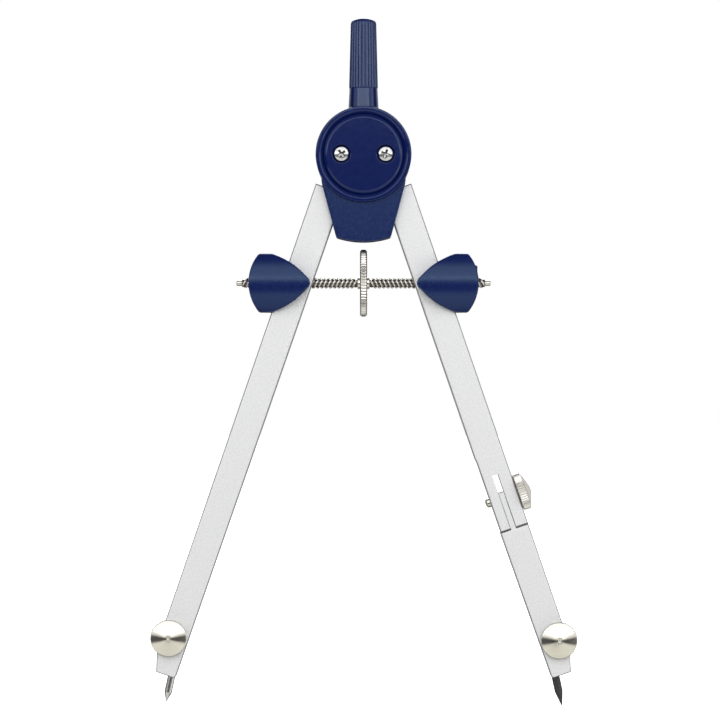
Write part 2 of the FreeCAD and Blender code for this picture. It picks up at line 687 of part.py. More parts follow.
def housing_front():
    """The front half of a nut housing, crowned about the spindle's line."""
    body = slab(housing_outline(), -HOUSING_CROWN - 1, 0)
    sagitta = HOUSING_CROWN - HOUSING_EDGE_Y
    crown_r = (HOUSING_TOP ** 2 + sagitta ** 2) / (2 * sagitta)
    crown_y = crown_r - HOUSING_CROWN
    body = body.common(rod(crown_r, Vector(-HOUSING_OUTER, crown_y, 0), Vector(2 * HOUSING_OUTER, crown_y, 0)))
    leg_space = box((-2 * HOUSING_OUTER, HOUSING_WALL_X), (-SHELL_INNER, 1), (-LEG_WIDTH * 2, LEG_WIDTH * 2))
    body = body.cut(leg_space)
    reach = SHELL_INNER + BARREL_EMBED
    body = body.cut(rod(BARREL_R, Vector(0, -reach, 0), Vector(0, 0, 0)))
    return body.cut(rod(SPINDLE_HOLE_R, Vector(0, 0, 0), Vector(2 * HOUSING_OUTER, 0, 0)))


def housing_rear(with_lug):
    """The rear half of a nut housing; the right one has a small lug at its outer end."""
    body = housing_front().mirror(Vector(), BACK)
    if with_lug:
        width, depth, height = LUG_SIZE
        lug = box((LUG_OUTER - width, LUG_OUTER), (FACE_GAP, depth), (LUG_TOP - height, LUG_TOP))
        lug = lug.cut(rod(SPINDLE_HOLE_R, Vector(), Vector(2 * HOUSING_OUTER, 0, 0)))
        body = body.fuse(lug)
    return solid_of(body)


# ---- the assembly ----------------------------------------------------------
def main():
    os.makedirs("parts", exist_ok=True)
    both = (-1, 1)

    handle = handle_grip()
    save("handle_grip", on_head(handle))
    save("head_front_shell", on_head(head_front_shell(handle)))
    save("head_rear_shell", on_head(head_rear_shell(handle)))
    save("head_cover_disc", on_head(head_cover_disc()))
    save("pivot_screws", *[on_head(pivot_screw(side)) for side in both])
    save("pivot_sleeves", *[on_head(pivot_sleeve(side)) for side in both])
    save("friction_washers", *[on_head(friction_washer(side, back)) for side in both for back in both])
    save("pivot_nuts", *[on_head(pivot_nut(side)) for side in both])

    save("left_leg", on_leg(left_leg(), -1))
    save("right_leg", on_leg(right_leg(), 1))
    save("lower_leg_insert", on_leg(lower_leg_insert(), 1))
    save("fork_clamp_screw", on_leg(fork_clamp_screw(), 1))
    save("needle_clamp_screw", on_leg(foot_clamp_screw(NEEDLE_CLAMP_S), -1))
    save("lead_clamp_screw", on_leg(foot_clamp_screw(LEAD_CLAMP_S), 1))
    save("needle", on_leg(needle(), -1))
    save("lead", on_leg(lead(), 1))

    spindle_height = PIVOT_HEIGHT - TRUNNION_S * math.cos(LEAN_RAD)
    for name, piece in (("threaded_spindle", threaded_spindle()), ("center_wheel", center_wheel())):
        piece.translate(Vector(0, 0, spindle_height))
        save(name, piece)
    for name, side in (("left", -1), ("right", 1)):
        save(name + "_barrel_nut", on_nut(barrel_nut(), side))
        save(name + "_housing_front", on_nut(solid_of(housing_front()), side))
        save(name + "_housing_rear", on_nut(housing_rear(side > 0), side))


main()
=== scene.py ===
import json
import math

import bmesh
import bpy
import numpy as np
from mathutils import Matrix, Vector


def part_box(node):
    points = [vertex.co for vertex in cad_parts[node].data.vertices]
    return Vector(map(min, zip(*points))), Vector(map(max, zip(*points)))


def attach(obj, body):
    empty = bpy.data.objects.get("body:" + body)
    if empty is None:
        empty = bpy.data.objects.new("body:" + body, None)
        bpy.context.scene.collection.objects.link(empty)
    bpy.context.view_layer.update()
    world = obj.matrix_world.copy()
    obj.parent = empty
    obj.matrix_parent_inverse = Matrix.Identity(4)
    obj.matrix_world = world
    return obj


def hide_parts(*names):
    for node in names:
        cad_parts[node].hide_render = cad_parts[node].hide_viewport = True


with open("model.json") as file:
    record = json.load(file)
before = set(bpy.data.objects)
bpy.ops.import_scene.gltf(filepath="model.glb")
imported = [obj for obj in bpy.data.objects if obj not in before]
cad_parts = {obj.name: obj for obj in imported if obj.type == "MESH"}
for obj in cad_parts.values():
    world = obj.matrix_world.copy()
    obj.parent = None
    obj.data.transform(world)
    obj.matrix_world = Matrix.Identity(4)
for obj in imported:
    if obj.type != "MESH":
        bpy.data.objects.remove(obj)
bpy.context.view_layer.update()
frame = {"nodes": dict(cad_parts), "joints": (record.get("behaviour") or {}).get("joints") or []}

# The looks of a centre-wheel bow compass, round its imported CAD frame.
# Lengths are in millimetres where a name doesn't say otherwise; MM makes them Blender's metres.
MM = 0.001

# ---- places, from the frame ------------------------------------------------
joints = {joint["name"]: joint for joint in frame["joints"]}


def joint_place(name):
    """A joint's anchor point, in metres."""
    return Vector(joints[name]["pos_m"])


LEFT_PIVOT = joint_place("needle_leg_pivot")
RIGHT_PIVOT = joint_place("lead_leg_pivot")
HEAD_CENTRE = (LEFT_PIVOT + RIGHT_PIVOT) / 2
PIVOT_X = (RIGHT_PIVOT - LEFT_PIVOT).length / 2 / MM
SPINDLE_CENTRE = joint_place("wheel_spin")
FRONT = Vector((0, -1, 0))
RIGHT = Vector((1, 0, 0))

# ---- sizes, millimetres ----------------------------------------------------
HEAD_R = 11.8
HEAD_HALF = 5.2
SKIRT_HALF = 4.3
SKIRT_TAPER = math.radians(15.0)
SKIRT_R = 21.5
SKIRT_CORNER = 1.2
SKIRT_BLEND = 0.8                             # over this much the skirt grows out of the round
SKIRT_EDGE_ROUND = 0.35
SKIRT_ROWS = (0.0, 0.12, 0.3, 0.55, 0.8, 1.0)
SHELL_INNER = 2.65
WALL_R = 10.3
WALL_END = -0.8
PARTING_BEVEL = 0.1
HEAD_CORE_R = 0.5
RIM_ROUND = 0.65
RIM_START = 11.1
RIM_LAP = 0.15
COVER_R = 9.9
COVER_SEAT = 3.9
COVER_TOP = 5.35
COVER_FLAT_R = 9.1
COVER_BEVEL = 0.7
COVER_GAP = 0.05
GROOVE_R = 10.85
GROOVE_DEPTH = 0.75
COUNTERBORE_R = 2.28
BORE_LIP = 0.14
SCREW_SEAT = 4.4
SCREW_R = 1.25
SCREW_HEAD_R = 1.82
SCREW_HEAD_T = 0.95
SCREW_CROWN = 0.42
SCREW_END = 5.05
CROSS_TURN = (35.0, -20.0)
CROSS_HALF = 0.3
CROSS_REACH = 1.12
CROSS_FLANK = 0.09
CROSS_DEPTH = 0.62
RECESS_R = 1.3
NUT_POCKET_FLATS = 5.1
NUT_POCKET_DEPTH = 1.75

NECK_FOOT = 10.5
NECK_FOOT_R = 3.78
NECK_TOP = 16.5
NECK_TOP_R = 3.46
NECK_ROWS = (0, 0.06, 0.2, 0.4, 0.6, 0.8, 0.94, 1)   # rows between the ends keep the shading even
GRIP_FOOT_R = 3.58
GRIP_TOP_R = 3.18
GRIP_DOME = 1.5
FLUTES = 28
FLUTE_DEPTH = 0.2

SPINDLE_R = 1.35
THREAD_ROOT_R = 0.96
THREAD_PITCH = 1.055
THREADS = 27
THREAD_STARTS = 3
THREAD_ROWS = 10                              # mesh rows to a ridge
SPINDLE_TIP_R = 0.7
COLLAR_R = 1.5
COLLAR_HALF = 1.5
WHEEL_R = 8.3
WHEEL_HALF_T = 0.875
WHEEL_TEETH = 64
WHEEL_BEVEL = 0.4
WHEEL_KNURL_DEPTH = 0.24

LEAN = 19.0
FORK_SLOT_N = (-0.95, 0.55)
FORK_SLOT_S = 83.5
SLOT_MARGIN = 0.02
EDGE_BEVEL = 0.22
POINT_TILT = 12.0
NEEDLE_R = 0.95
NEEDLE_LENGTH = 18.5
NEEDLE_CONE = 2.5
LEAD_R = 1.0
LEAD_LENGTH = 19.3
LEAD_BEVEL = 3.6
LEAD_EDGE = 0.08

HOUSING_TOP = 7.27
HOUSING_FLAT = (9.4, 6.2)
HOUSING_OUTER = 11.9
HOUSING_SIDE_MID = (1.52, 4.96)
HOUSING_SIDE_END = (-2.4, 1.5)
HOUSING_APEX = -3.2
HOUSING_CROWN = 6.6
HOUSING_EDGE_Y = 3.5
HOUSING_WALL_X = 8.1
HOUSING_EDGE_ROUND = 0.35
HOUSING_MIDDLE = 4.5
PARTING_EASE = 0.08
LEG_SPACE_X = -24.0
LEG_SPACE_Z = 14.6
SPINDLE_HOLE_R = 1.6
SPINDLE_HOLE_REACH = 20
BARREL_R = 2.3
BARREL_END = 3.85
LUG_X = (10.25, 11.85)
LUG_Y = (0.15, 1.4)
LUG_Z = (1.6, 4.6)

KNOB_R = 4.6
KNOB_RIM = 2.0
KNOB_HEIGHT = 3.28
KNOB_CHAMFER = 0.25
KNOB_FACE_EDGE = 0.28
KNOB_HUB = [(0.88, 3.16), (0.78, 3.0), (0.66, 3.0),   # the face's inner edge and the groove
            (0.56, KNOB_HEIGHT), (0.36, KNOB_HEIGHT), (0.05, 3.05)]   # the hub and its dimple
KNOB_TEETH = 44
KNURL_DEPTH = 0.22
FOOT_SCREW_R = 1.0
FOOT_SCREW_LENGTH = 5.55
FORK_SCREW_R = 1.2
FORK_SCREW_LENGTH = 8.5


# ---- mesh helpers ----------------------------------------------------------
def rounded(points, radius, steps=4, closed=False):
    """A polyline with its corners rounded off by short curves."""
    points = [np.array(p, float) for p in points]
    count = len(points)
    made = []
    for i, corner in enumerate(points):
        if not closed and i in (0, count - 1):
            made.append(corner)
            continue
        before = points[i - 1]
        after = points[(i + 1) % count]
        reach_in = min(radius, np.linalg.norm(before - corner) * 0.45)
        reach_out = min(radius, np.linalg.norm(after - corner) * 0.45)
        start = corner + (before - corner) / np.linalg.norm(before - corner) * reach_in
        end = corner + (after - corner) / np.linalg.norm(after - corner) * reach_out
        for k in range(steps + 1):
            t = k / steps
            made.append((1 - t) ** 2 * start + 2 * t * (1 - t) * corner + t ** 2 * end)
    return made


def arc_points(start, middle, end, steps):
    """Points on the circle arc from start through middle to end, without the last one."""
    start, middle, end = (np.array(p, float) for p in (start, middle, end))
    a = middle - start
    b = end - start
    cross = 2 * (a[0] * b[1] - a[1] * b[0])
    centre = start + np.array([b[1] * a.dot(a) - a[1] * b.dot(b),
                               a[0] * b.dot(b) - b[0] * a.dot(a)]) / cross
    radius = np.linalg.norm(start - centre)
    first = math.atan2(*(start - centre)[::-1])
    sweep = math.atan2(*(end - centre)[::-1]) - first
    turn = math.atan2(*(middle - centre)[::-1]) - first
    full = 2 * math.pi
    sweep %= full
    if turn % full > sweep:
        sweep -= full
    return [centre + radius * np.array([math.cos(first + sweep * k / steps),
                                        math.sin(first + sweep * k / steps)]) for k in range(steps)]


def line_points(start, end, steps):
    """Points on a straight stretch, without the last one."""
    start, end = np.array(start, float), np.array(end, float)
    return [start + (end - start) * k / steps for k in range(steps)]


def share_of(low, high, share):
    """The number this share of the way from low to high."""
    return low + (high - low) * share


def smooth_step(t):
    """t from 0 to 1, eased at both ends."""
    return t * t * (3 - 2 * t)


def full_turn(columns):
    """Evenly spaced angles round a circle."""
    return np.linspace(0, 2 * math.pi, columns, endpoint=False)


def ring_about_z(radius, angles, height):
    """A closed ring of points about Z; the radius may differ from angle to angle."""
    return np.column_stack([radius * np.cos(angles), radius * np.sin(angles),
                            np.full(len(angles), height)])


def skin(rings):
    """Points and faces of a skin through closed rings; each end closes on its middle."""
    count = len(rings)
    columns = len(rings[0])
    points = np.concatenate([np.asarray(ring, float) for ring in rings])
    faces = []
    for i in range(count - 1):
        here, above = i * columns, (i + 1) * columns
        for j in range(columns):
            k = (j + 1) % columns
            faces.append((here + j, here + k, above + k, above + j))
    middle = len(points)
    points = np.vstack([points, np.mean(rings[0], axis=0), np.mean(rings[-1], axis=0)])
    last = (count - 1) * columns
    for j in range(columns):
        k = (j + 1) % columns
        faces.append((middle, k, j))
        faces.append((middle + 1, last + j, last + k))
    return points, faces


def lathe(profile, columns, limit=None):
    """A turned part about Z from its (radius, height) profile; limit(angle) caps the radius."""
    angles = full_turn(columns)
    cap = np.array([limit(a) for a in angles]) if limit else np.full(columns, np.inf)
    return skin([ring_about_z(np.minimum(radius, cap), angles, height)
                 for radius, height in profile])


def knurl(radius, depth, teeth):
    """A limit for lathe: a toothed rim with rounded crests."""
    def limit(angle):
        phase = angle * teeth / (2 * math.pi) % 1.0
        return radius - depth * abs(2 * phase - 1) ** 1.3
    return limit


def prism(outline, y_from, y_to):
    """A plate with an (x, z) outline between two depths."""
    return skin([[(x, y, z) for x, z in outline] for y in (y_from, y_to)])


def join(*parts):
    """Several parts as one set of points and faces."""
    points = []
    faces = []
    offset = 0
    for part_points, part_faces in parts:
        points.append(np.asarray(part_points))
        faces += [tuple(i + offset for i in face) for face in part_faces]
        offset += len(part_points)
    return np.vstack(points), faces


def new_object(name, part, place=Matrix.Identity(4)):
    """A mesh object from millimetre points, standing at place."""
    points, faces = part
    mesh = bpy.data.meshes.new(name)
    mesh.from_pydata([tuple(p * MM) for p in points], [], faces)
    work = bmesh.new()
    work.from_mesh(mesh)
    bmesh.ops.remove_doubles(work, verts=work.verts, dist=1e-7)
    bmesh.ops.dissolve_degenerate(work, dist=1e-8, edges=work.edges)
    bmesh.ops.recalc_face_normals(work, faces=work.faces)
    work.to_mesh(mesh)
    work.free()
    piece = bpy.data.objects.new(name, mesh)
    bpy.context.scene.collection.objects.link(piece)
    piece.matrix_world = place
    return piece


def carve(piece, cutters, added=()):
    """Add some objects to a piece and cut others out of it; they are used up."""
    cutters = list(added) + cutters
    for cutter in cutters:
        cut = piece.modifiers.new("cut", "BOOLEAN")
        cut.object = cutter
        cut.operation = "UNION" if cutter in added else "DIFFERENCE"
        cut.solver = "EXACT"
    bpy.context.view_layer.update()
    graph = bpy.context.evaluated_depsgraph_get()
    made = bpy.data.meshes.new_from_object(piece.evaluated_get(graph))
    piece.modifiers.clear()
    piece.data = made
    for cutter in cutters:
        bpy.data.objects.remove(cutter)


def soften(mesh, sharp_degrees=32.0):
    """Smooth shading, broken at the edges that are really sharp."""
    work = bmesh.new()
    work.from_mesh(mesh)
    for face in work.faces:
        face.smooth = True
    limit = math.radians(sharp_degrees)
    for edge in work.edges:
        edge.smooth = not (len(edge.link_faces) == 2 and edge.calc_face_angle(0.0) > limit)
    work.to_mesh(mesh)
    work.free()


def finish_piece(piece, body, slot, materials, *nodes):
    """Shade a piece, give it its materials and its body, and hide the nodes it stands for; slot is
    not used.
    """
    soften(piece.data)
    even = piece.modifiers.new("even_normals", "WEIGHTED_NORMAL")
    even.keep_sharp = True
    piece.data.materials.clear()
    for material in materials:
        piece.data.materials.append(material)
    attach(piece, body)
    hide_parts(*nodes)


def standing(origin, axis):
    """A place at origin whose local Z points along axis."""
    turn = Vector(axis).to_track_quat("Z", "Y").to_matrix().to_4x4()
    return Matrix.Translation(origin) @ turn


# ---- material helpers ------------------------------------------------------
class Finish:
    """A material under construction, with short ways to add and link nodes."""

    def __init__(self, name, **sockets):
        self.material = bpy.data.materials.new(name)
        self.material.use_nodes = True
        self.tree = self.material.node_tree
        self.shader = self.tree.nodes["Principled BSDF"]
        texture = self.add("ShaderNodeTexCoord")
        self.coordinates = texture.outputs["Object"]
        self.normal = texture.outputs["Normal"]
        for socket, value in sockets.items():
            self.shader.inputs[socket.replace("_", " ")].default_value = value

    def add(self, kind, **settings):
        node = self.tree.nodes.new(kind)
        for name, value in settings.items():
            setattr(node, name, value)
        return node

    def link(self, source, target):
        self.tree.links.new(source, target)

    def noise(self, size_mm, detail=3.0, stretch=None):
        """Noise whose grains are about this large; stretch scales the coordinates per axis."""
        node = self.add("ShaderNodeTexNoise")
        node.inputs["Scale"].default_value = 1.0 / (size_mm * MM)
        node.inputs["Detail"].default_value = detail
        if stretch:
            mapping = self.add("ShaderNodeMapping")
            mapping.inputs["Scale"].default_value = stretch
            self.link(self.coordinates, mapping.inputs["Vector"])
            self.link(mapping.outputs["Vector"], node.inputs["Vector"])
        else:
            self.link(self.coordinates, node.inputs["Vector"])
        return node.outputs["Fac"]

    def rings(self, pitch_mm):
        """Turned rings about the piece's Z axis."""
        node = self.add("ShaderNodeTexWave", wave_type="RINGS", rings_direction="Z")
        node.inputs["Scale"].default_value = 2 * math.pi / (20 * pitch_mm * MM)
        node.inputs["Distortion"].default_value = 0.6
        node.inputs["Detail"].default_value = 2.0
        node.inputs["Detail Scale"].default_value = 3.0
        self.link(self.coordinates, node.inputs["Vector"])
        return node.outputs["Fac"]

    def between(self, factor, low, high, from_low=0.3, from_high=0.7):
        """A number from low to high as the factor goes over its middle range."""
        node = self.add("ShaderNodeMapRange")
        node.inputs["From Min"].default_value = from_low
        node.inputs["From Max"].default_value = from_high
        node.inputs["To Min"].default_value = low
        node.inputs["To Max"].default_value = high
        self.link(factor, node.inputs["Value"])
        return node.outputs["Result"]

    def roughness(self, size_mm, low, high):
        """Roughness that wanders between two values in grains about this large."""
        self.link(self.between(self.noise(size_mm), low, high), self.shader.inputs["Roughness"])

    def compare(self, source, value, within):
        """1 where a number lies this near to a value."""
        node = self.add("ShaderNodeMath", operation="COMPARE")
        self.link(source, node.inputs[0])
        node.inputs[1].default_value = value
        node.inputs[2].default_value = within
        return node.outputs["Value"]

    def colours(self, factor, dark, light, from_low=0.3, from_high=0.7):
        """A colour from dark to light as the factor goes over its middle range."""
        node = self.add("ShaderNodeValToRGB")
        node.color_ramp.elements[0].position = from_low
        node.color_ramp.elements[1].position = from_high
        node.color_ramp.elements[0].color = (*dark, 1)
        node.color_ramp.elements[1].color = (*light, 1)
        self.link(factor, node.inputs["Fac"])
        self.link(node.outputs["Color"], self.shader.inputs["Base Color"])

    def dot(self, source, along):
        """How far a vector reaches along a direction."""
        node = self.add("ShaderNodeVectorMath", operation="DOT_PRODUCT")
        node.inputs[1].default_value = along
        self.link(source, node.inputs[0])
        return node.outputs["Value"]

    def darken(self, mask, colour):
        """Lay a colour over the base colour where the mask is 1."""
        node = self.add("ShaderNodeMix", data_type="RGBA")
        base = self.shader.inputs["Base Color"].links[0].from_socket
        self.link(mask, node.inputs["Factor"])
        self.link(base, node.inputs["A"])
        node.inputs["B"].default_value = (*colour, 1)
        self.link(node.outputs["Result"], self.shader.inputs["Base Color"])

    def bump(self, *layers):
        """Bump from (height, depth in mm) layers, one on top of the other."""
        normal = None
        for height, depth in layers:
            node = self.add("ShaderNodeBump")
            node.inputs["Distance"].default_value = depth * MM
            self.link(height, node.inputs["Height"])
            if normal:
                self.link(normal, node.inputs["Normal"])
            normal = node.outputs["Normal"]
        self.link(normal, self.shader.inputs["Normal"])


def blue_plastic(name, roughness, peel, shine, tint=(0.7, 0.87, 1.0)):
    """Dark blue moulded plastic with a faint orange-peel skin of this depth and a bluish gloss."""
    finish = Finish(name, IOR=1.5, Specular_IOR_Level=shine, Specular_Tint=(*tint, 1))
    finish.colours(finish.noise(1.4), (0.0036, 0.0104, 0.092), (0.0046, 0.0124, 0.104))
    finish.roughness(0.9, roughness - 0.03, roughness + 0.04)
    finish.bump((finish.noise(0.5), peel))
    return finish.material


def silver_lacquer(name, shaded_slot=False):
    """Pearl silver lacquer with fine flakes, and painted shade greying the bars' sideways-facing
    edges.

    With the slot flag set, the fork slot's walls get near-black painted shade.
    """
    finish = Finish(name, Metallic=0.4, IOR=1.5)
    finish.colours(finish.noise(0.42, 4.0), (0.83, 0.835, 0.845), (0.95, 0.955, 0.965))
    finish.roughness(0.3, 0.42, 0.56)
    finish.bump((finish.noise(0.4, 4.0), 0.006))
    # Painted shade: faces turned away from front and back get a grey laid over them.
    edge = finish.compare(finish.dot(finish.normal, (0, 1, 0)), 0.0, 0.85)
    finish.darken(edge, (0.34, 0.34, 0.35))
    # Painted shade in the fork slot, whose walls lie in the gap's shadow.
    if shaded_slot:
        finish.darken(slot_shade_mask(finish), (0.05, 0.05, 0.052))
    return finish.material


def slot_shade_mask(finish):
    """1 on the walls of the fork's slot, where shade is painted; the slot has no face of the leg
    inside its outline.
    """
    lean = math.radians(LEAN)
    from_pivot = finish.add("ShaderNodeVectorMath", operation="SUBTRACT")
    from_pivot.inputs[1].default_value = RIGHT_PIVOT
    finish.link(finish.coordinates, from_pivot.inputs[0])
    across = finish.dot(from_pivot.outputs["Vector"], (math.cos(lean), 0, math.sin(lean)))
    down = finish.dot(from_pivot.outputs["Vector"], (math.sin(lean), 0, -math.cos(lean)))
    low, high = FORK_SLOT_N
    inside = finish.compare(across, (low + high) / 2 * MM, ((high - low) / 2 + SLOT_MARGIN) * MM)
    below = finish.add("ShaderNodeMath", operation="GREATER_THAN")
    below.inputs[1].default_value = (FORK_SLOT_S - SLOT_MARGIN) * MM
    finish.link(down, below.inputs[0])
    mask = finish.add("ShaderNodeMath", operation="MULTIPLY")
    finish.link(inside, mask.inputs[0])
    finish.link(below.outputs["Value"], mask.inputs[1])
    return mask.outputs["Value"]


# The colour of the painted shade in the roots of knurls and threads.
ROOT_SHADE = (0.1, 0.097, 0.09)


def nickel_plate(name, axis="Z", root_r=None, crest_r=None, roughness=0.24):
    """Warm nickel plate; with radii, a knurl's or thread's roots about the axis get dark painted
    shade.
    """
    finish = Finish(name, Metallic=1.0)
    if root_r is None:
        finish.colours(finish.noise(0.8), (0.66, 0.63, 0.57), (0.78, 0.75, 0.69))
    else:
        flatten = finish.add("ShaderNodeVectorMath", operation="MULTIPLY")
        flatten.inputs[1].default_value = [0.0 if axis == letter else 1.0 for letter in "XYZ"]
        finish.link(finish.coordinates, flatten.inputs[0])
        length = finish.add("ShaderNodeVectorMath", operation="LENGTH")
        finish.link(flatten.outputs["Vector"], length.inputs[0])
        height = finish.between(length.outputs["Value"], 0.0, 1.0, root_r * MM, crest_r * MM)
        # Painted shade: dark at the roots, full nickel towards the crests.
        finish.colours(height, ROOT_SHADE, (0.87, 0.85, 0.80), 0.0, 0.42)
    finish.roughness(0.5, roughness - 0.04, roughness + 0.06)
    finish.bump((finish.noise(0.25), 0.003))
    return finish.material


def turned_nickel():
    """Nickel plate over a face turned on a lathe: fine rings and a fan-shaped gloss."""
    finish = Finish("turned_nickel", Metallic=1.0, Anisotropic=0.85, Anisotropic_Rotation=0.25)
    finish.colours(finish.rings(0.21), (0.71, 0.68, 0.59), (0.79, 0.765, 0.685), 0.1, 0.9)
    finish.roughness(0.6, 0.16, 0.22)
    finish.bump((finish.rings(0.11), 0.0012))
    tangent = finish.add("ShaderNodeTangent", direction_type="RADIAL", axis="Z")
    finish.link(tangent.outputs["Tangent"], finish.shader.inputs["Tangent"])
    return finish.material


def screw_steel(name, light):
    """Zinc-plated steel; light scales how bright it is, and below 1 makes a darker copy that stands
    for painted shade.
    """
    finish = Finish(name, Metallic=1.0)
    finish.colours(finish.noise(0.5), (0.56 * light,) * 3, (0.74 * light,) * 3)
    finish.roughness(0.3, 0.14, 0.26)
    finish.bump((finish.noise(0.3), 0.004))
    return finish.material


def needle_steel():
    """Ground hardened steel."""
    finish = Finish("needle_steel", Metallic=1.0)
    finish.colours(finish.noise(0.5, 2.0, (1, 1, 6)), (0.50, 0.50, 0.50), (0.68, 0.68, 0.67))
    finish.roughness(0.3, 0.18, 0.28)
    finish.bump((finish.noise(0.2, 2.0, (1, 1, 8)), 0.002))
    return finish.material


def spring_steel():
    """Thin rolled spring steel, a little oiled."""
    finish = Finish("spring_steel", Metallic=1.0)
    finish.colours(finish.noise(0.6), (0.34, 0.34, 0.36), (0.46, 0.46, 0.48))
    finish.roughness(0.4, 0.22, 0.36)
    finish.bump((finish.noise(0.4), 0.003))
    return finish.material


def brass():
    """Turned brass."""
    finish = Finish("brass", Metallic=1.0)
    finish.colours(finish.noise(0.7), (0.62, 0.44, 0.17), (0.74, 0.55, 0.24))
    finish.roughness(0.4, 0.22, 0.34)
    finish.bump((finish.noise(0.4), 0.003))
    return finish.material


def graphite():
    """Fired graphite lead, with the dull shine of sanded facets."""
    finish = Finish("graphite", Metallic=0.35, IOR=1.6)
    finish.colours(finish.noise(0.25, 5.0), (0.02, 0.02, 0.021), (0.07, 0.07, 0.073))
    finish.roughness(0.2, 0.32, 0.48)
    finish.bump((finish.noise(0.12, 4.0), 0.004))
    return finish.material


BLUE = blue_plastic("blue_plastic", 0.12, 0.0006, 0.54)
BLUE_SATIN = blue_plastic("blue_satin", 0.26, 0.0005, 0.55, (0.58, 0.86, 1.0))
BLUE_SHADE = blue_plastic("blue_shade", 0.7, 0.0005, 0.08)
SILVER = silver_lacquer("silver_lacquer")
FORK_SILVER = silver_lacquer("fork_silver", True)
NICKEL = nickel_plate("nickel_plate")
# These three carry painted shade in their knurl or thread roots.
THREAD_NICKEL = nickel_plate("thread_nickel", "X", THREAD_ROOT_R, SPINDLE_R - 0.05)
WHEEL_NICKEL = nickel_plate("wheel_nickel", "Z", WHEEL_R - 0.27, WHEEL_R - 0.07)
KNURL_NICKEL = nickel_plate("knurl_nickel", "Z", KNOB_R - 0.3, KNOB_R - 0.1, 0.34)
TURNED = turned_nickel()
SCREW_STEEL = screw_steel("screw_steel", 1.0)
# Darker copies of the screw steel: painted shade for the cross recesses.
RECESS_SHADE_STEEL = screw_steel("recess_shade_steel", 0.12)
RECESS_FLOOR_SHADE = screw_steel("recess_floor_shade", 0.5)
NEEDLE_STEEL = needle_steel()
SPRING_STEEL = spring_steel()
BRASS = brass()
GRAPHITE = graphite()


# ---- handle ----------------------------------------------------------------
def build_handle():
    """The handle: a smooth tapered neck, a fluted grip and a domed top."""
    grip_top = (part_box("handle_grip")[1].z - HEAD_CENTRE.z) / MM
    flank = [(share_of(NECK_FOOT_R, NECK_TOP_R, t), share_of(NECK_FOOT, NECK_TOP, t))
             for t in NECK_ROWS]
    neck = rounded([(0, NECK_FOOT)] + flank + [(GRIP_FOOT_R, NECK_TOP + 0.15)], 0.12, 3)
    grip_foot, straight_top = NECK_TOP + 0.2, grip_top - GRIP_DOME
    grip = [(share_of(GRIP_FOOT_R, GRIP_TOP_R, t), share_of(grip_foot, straight_top, t))
            for t in np.linspace(0, 1, 26)]
    flat_r = GRIP_TOP_R - GRIP_DOME
    dome = [(flat_r + GRIP_DOME * math.cos(angle), straight_top + GRIP_DOME * math.sin(angle))
            for angle in np.radians(np.linspace(4, 90, 14))]
    crown = [(flat_r * k, grip_top) for k in (0.8, 0.5, 0.2)]
    angles = full_turn(FLUTES * 12)
    wave = np.abs(np.cos(angles * FLUTES / 2)) ** 0.8
    rings = []
    for radius, height in neck + grip + dome + crown:
        if height > NECK_TOP + 0.1:
            share = min(1.0, (height - NECK_TOP) / (grip_top - NECK_TOP))
            crest = share_of(GRIP_FOOT_R, GRIP_TOP_R, share)
            radius = np.minimum(radius, crest - FLUTE_DEPTH * wave)
        rings.append(ring_about_z(radius, angles, height))
    piece = new_object("handle", skin(rings), Matrix.Translation(HEAD_CENTRE))
    finish_piece(piece, "head", "blue_plastic", [BLUE], "handle_grip")


# ---- head ------------------------------------------------------------------
def head_outline():
    """The head's outline as (x, z) points round its centre: circle, tapered skirt, lower arc."""
    reach = math.acos(HEAD_R / SKIRT_R)
    low = -SKIRT_TAPER - reach
    side = (HEAD_R * math.cos(SKIRT_TAPER), -HEAD_R * math.sin(SKIRT_TAPER))
    corner = (SKIRT_R * math.cos(low), SKIRT_R * math.sin(low))
    left_side = (-side[0], side[1])
    left_corner = (-corner[0], corner[1])
    bottom = arc_points(left_corner, (0, -SKIRT_R), corner, 26)
    lower = rounded([bottom[-1], corner, side], SKIRT_CORNER, 8)[1:-1]
    left_lower = rounded([left_side, left_corner, bottom[1]], SKIRT_CORNER, 8)[1:-1]
    points = arc_points(side, (0, HEAD_R), left_side, 150)
    points += line_points(left_side, left_lower[0], 26)
    points += left_lower
    points += [p for p in bottom if left_lower[-1][0] + 0.3 < p[0] < lower[0][0] - 0.3]
    points += lower
    points += line_points(lower[-1], side, 26)[1:]
    return np.array(points)


def shell_part(inner_profile):
    """A head shell's plate: inner_profile covers the disc, then comes the skirt or side wall."""
    outline = head_outline()
    radius = np.linalg.norm(outline, axis=1)
    outward = outline / radius[:, None]
    room = radius - HEAD_R
    spread = smooth_step(np.clip(room / SKIRT_BLEND, 0, 1))

    def ring(r, y):
        return np.column_stack([outward[:, 0] * r, np.full(len(radius), y), outward[:, 1] * r])

    wall_top = -SKIRT_HALF - RIM_LAP
    rim = rounded([(RIM_START, -HEAD_HALF), (HEAD_R, -HEAD_HALF), (HEAD_R, wall_top)], RIM_ROUND, 8)
    rings = [ring(r, y) for r, y in list(inner_profile) + rim]
    # The skirt's rows: across its face, round its edge, then down its side. Where there is no
    # skirt, the same rows go straight down the head's side wall.
    rows = [(share, 0.0, 0.0) for share in SKIRT_ROWS]
    rows += [(1.0, math.sin(a), 1 - math.cos(a)) for a in np.radians([15, 30, 45, 60, 75, 90])]
    rows += [(1.0, 1.0, 1.0), (1.0, 1.0, (SKIRT_HALF - SHELL_INNER) / SKIRT_EDGE_ROUND)]
    room_edge = np.minimum(SKIRT_EDGE_ROUND, room)
    for (share, across, down), wall_y in zip(rows, np.linspace(wall_top, -SHELL_INNER, len(rows))):
        skirt_r = HEAD_R + (room - room_edge) * share + room_edge * across
        skirt_y = -SKIRT_HALF + SKIRT_EDGE_ROUND * down
        r = skirt_r * spread + HEAD_R * (1 - spread)
        y = skirt_y * spread + wall_y * (1 - spread)
        rings.append(ring(r, y))
    return skin(rings)


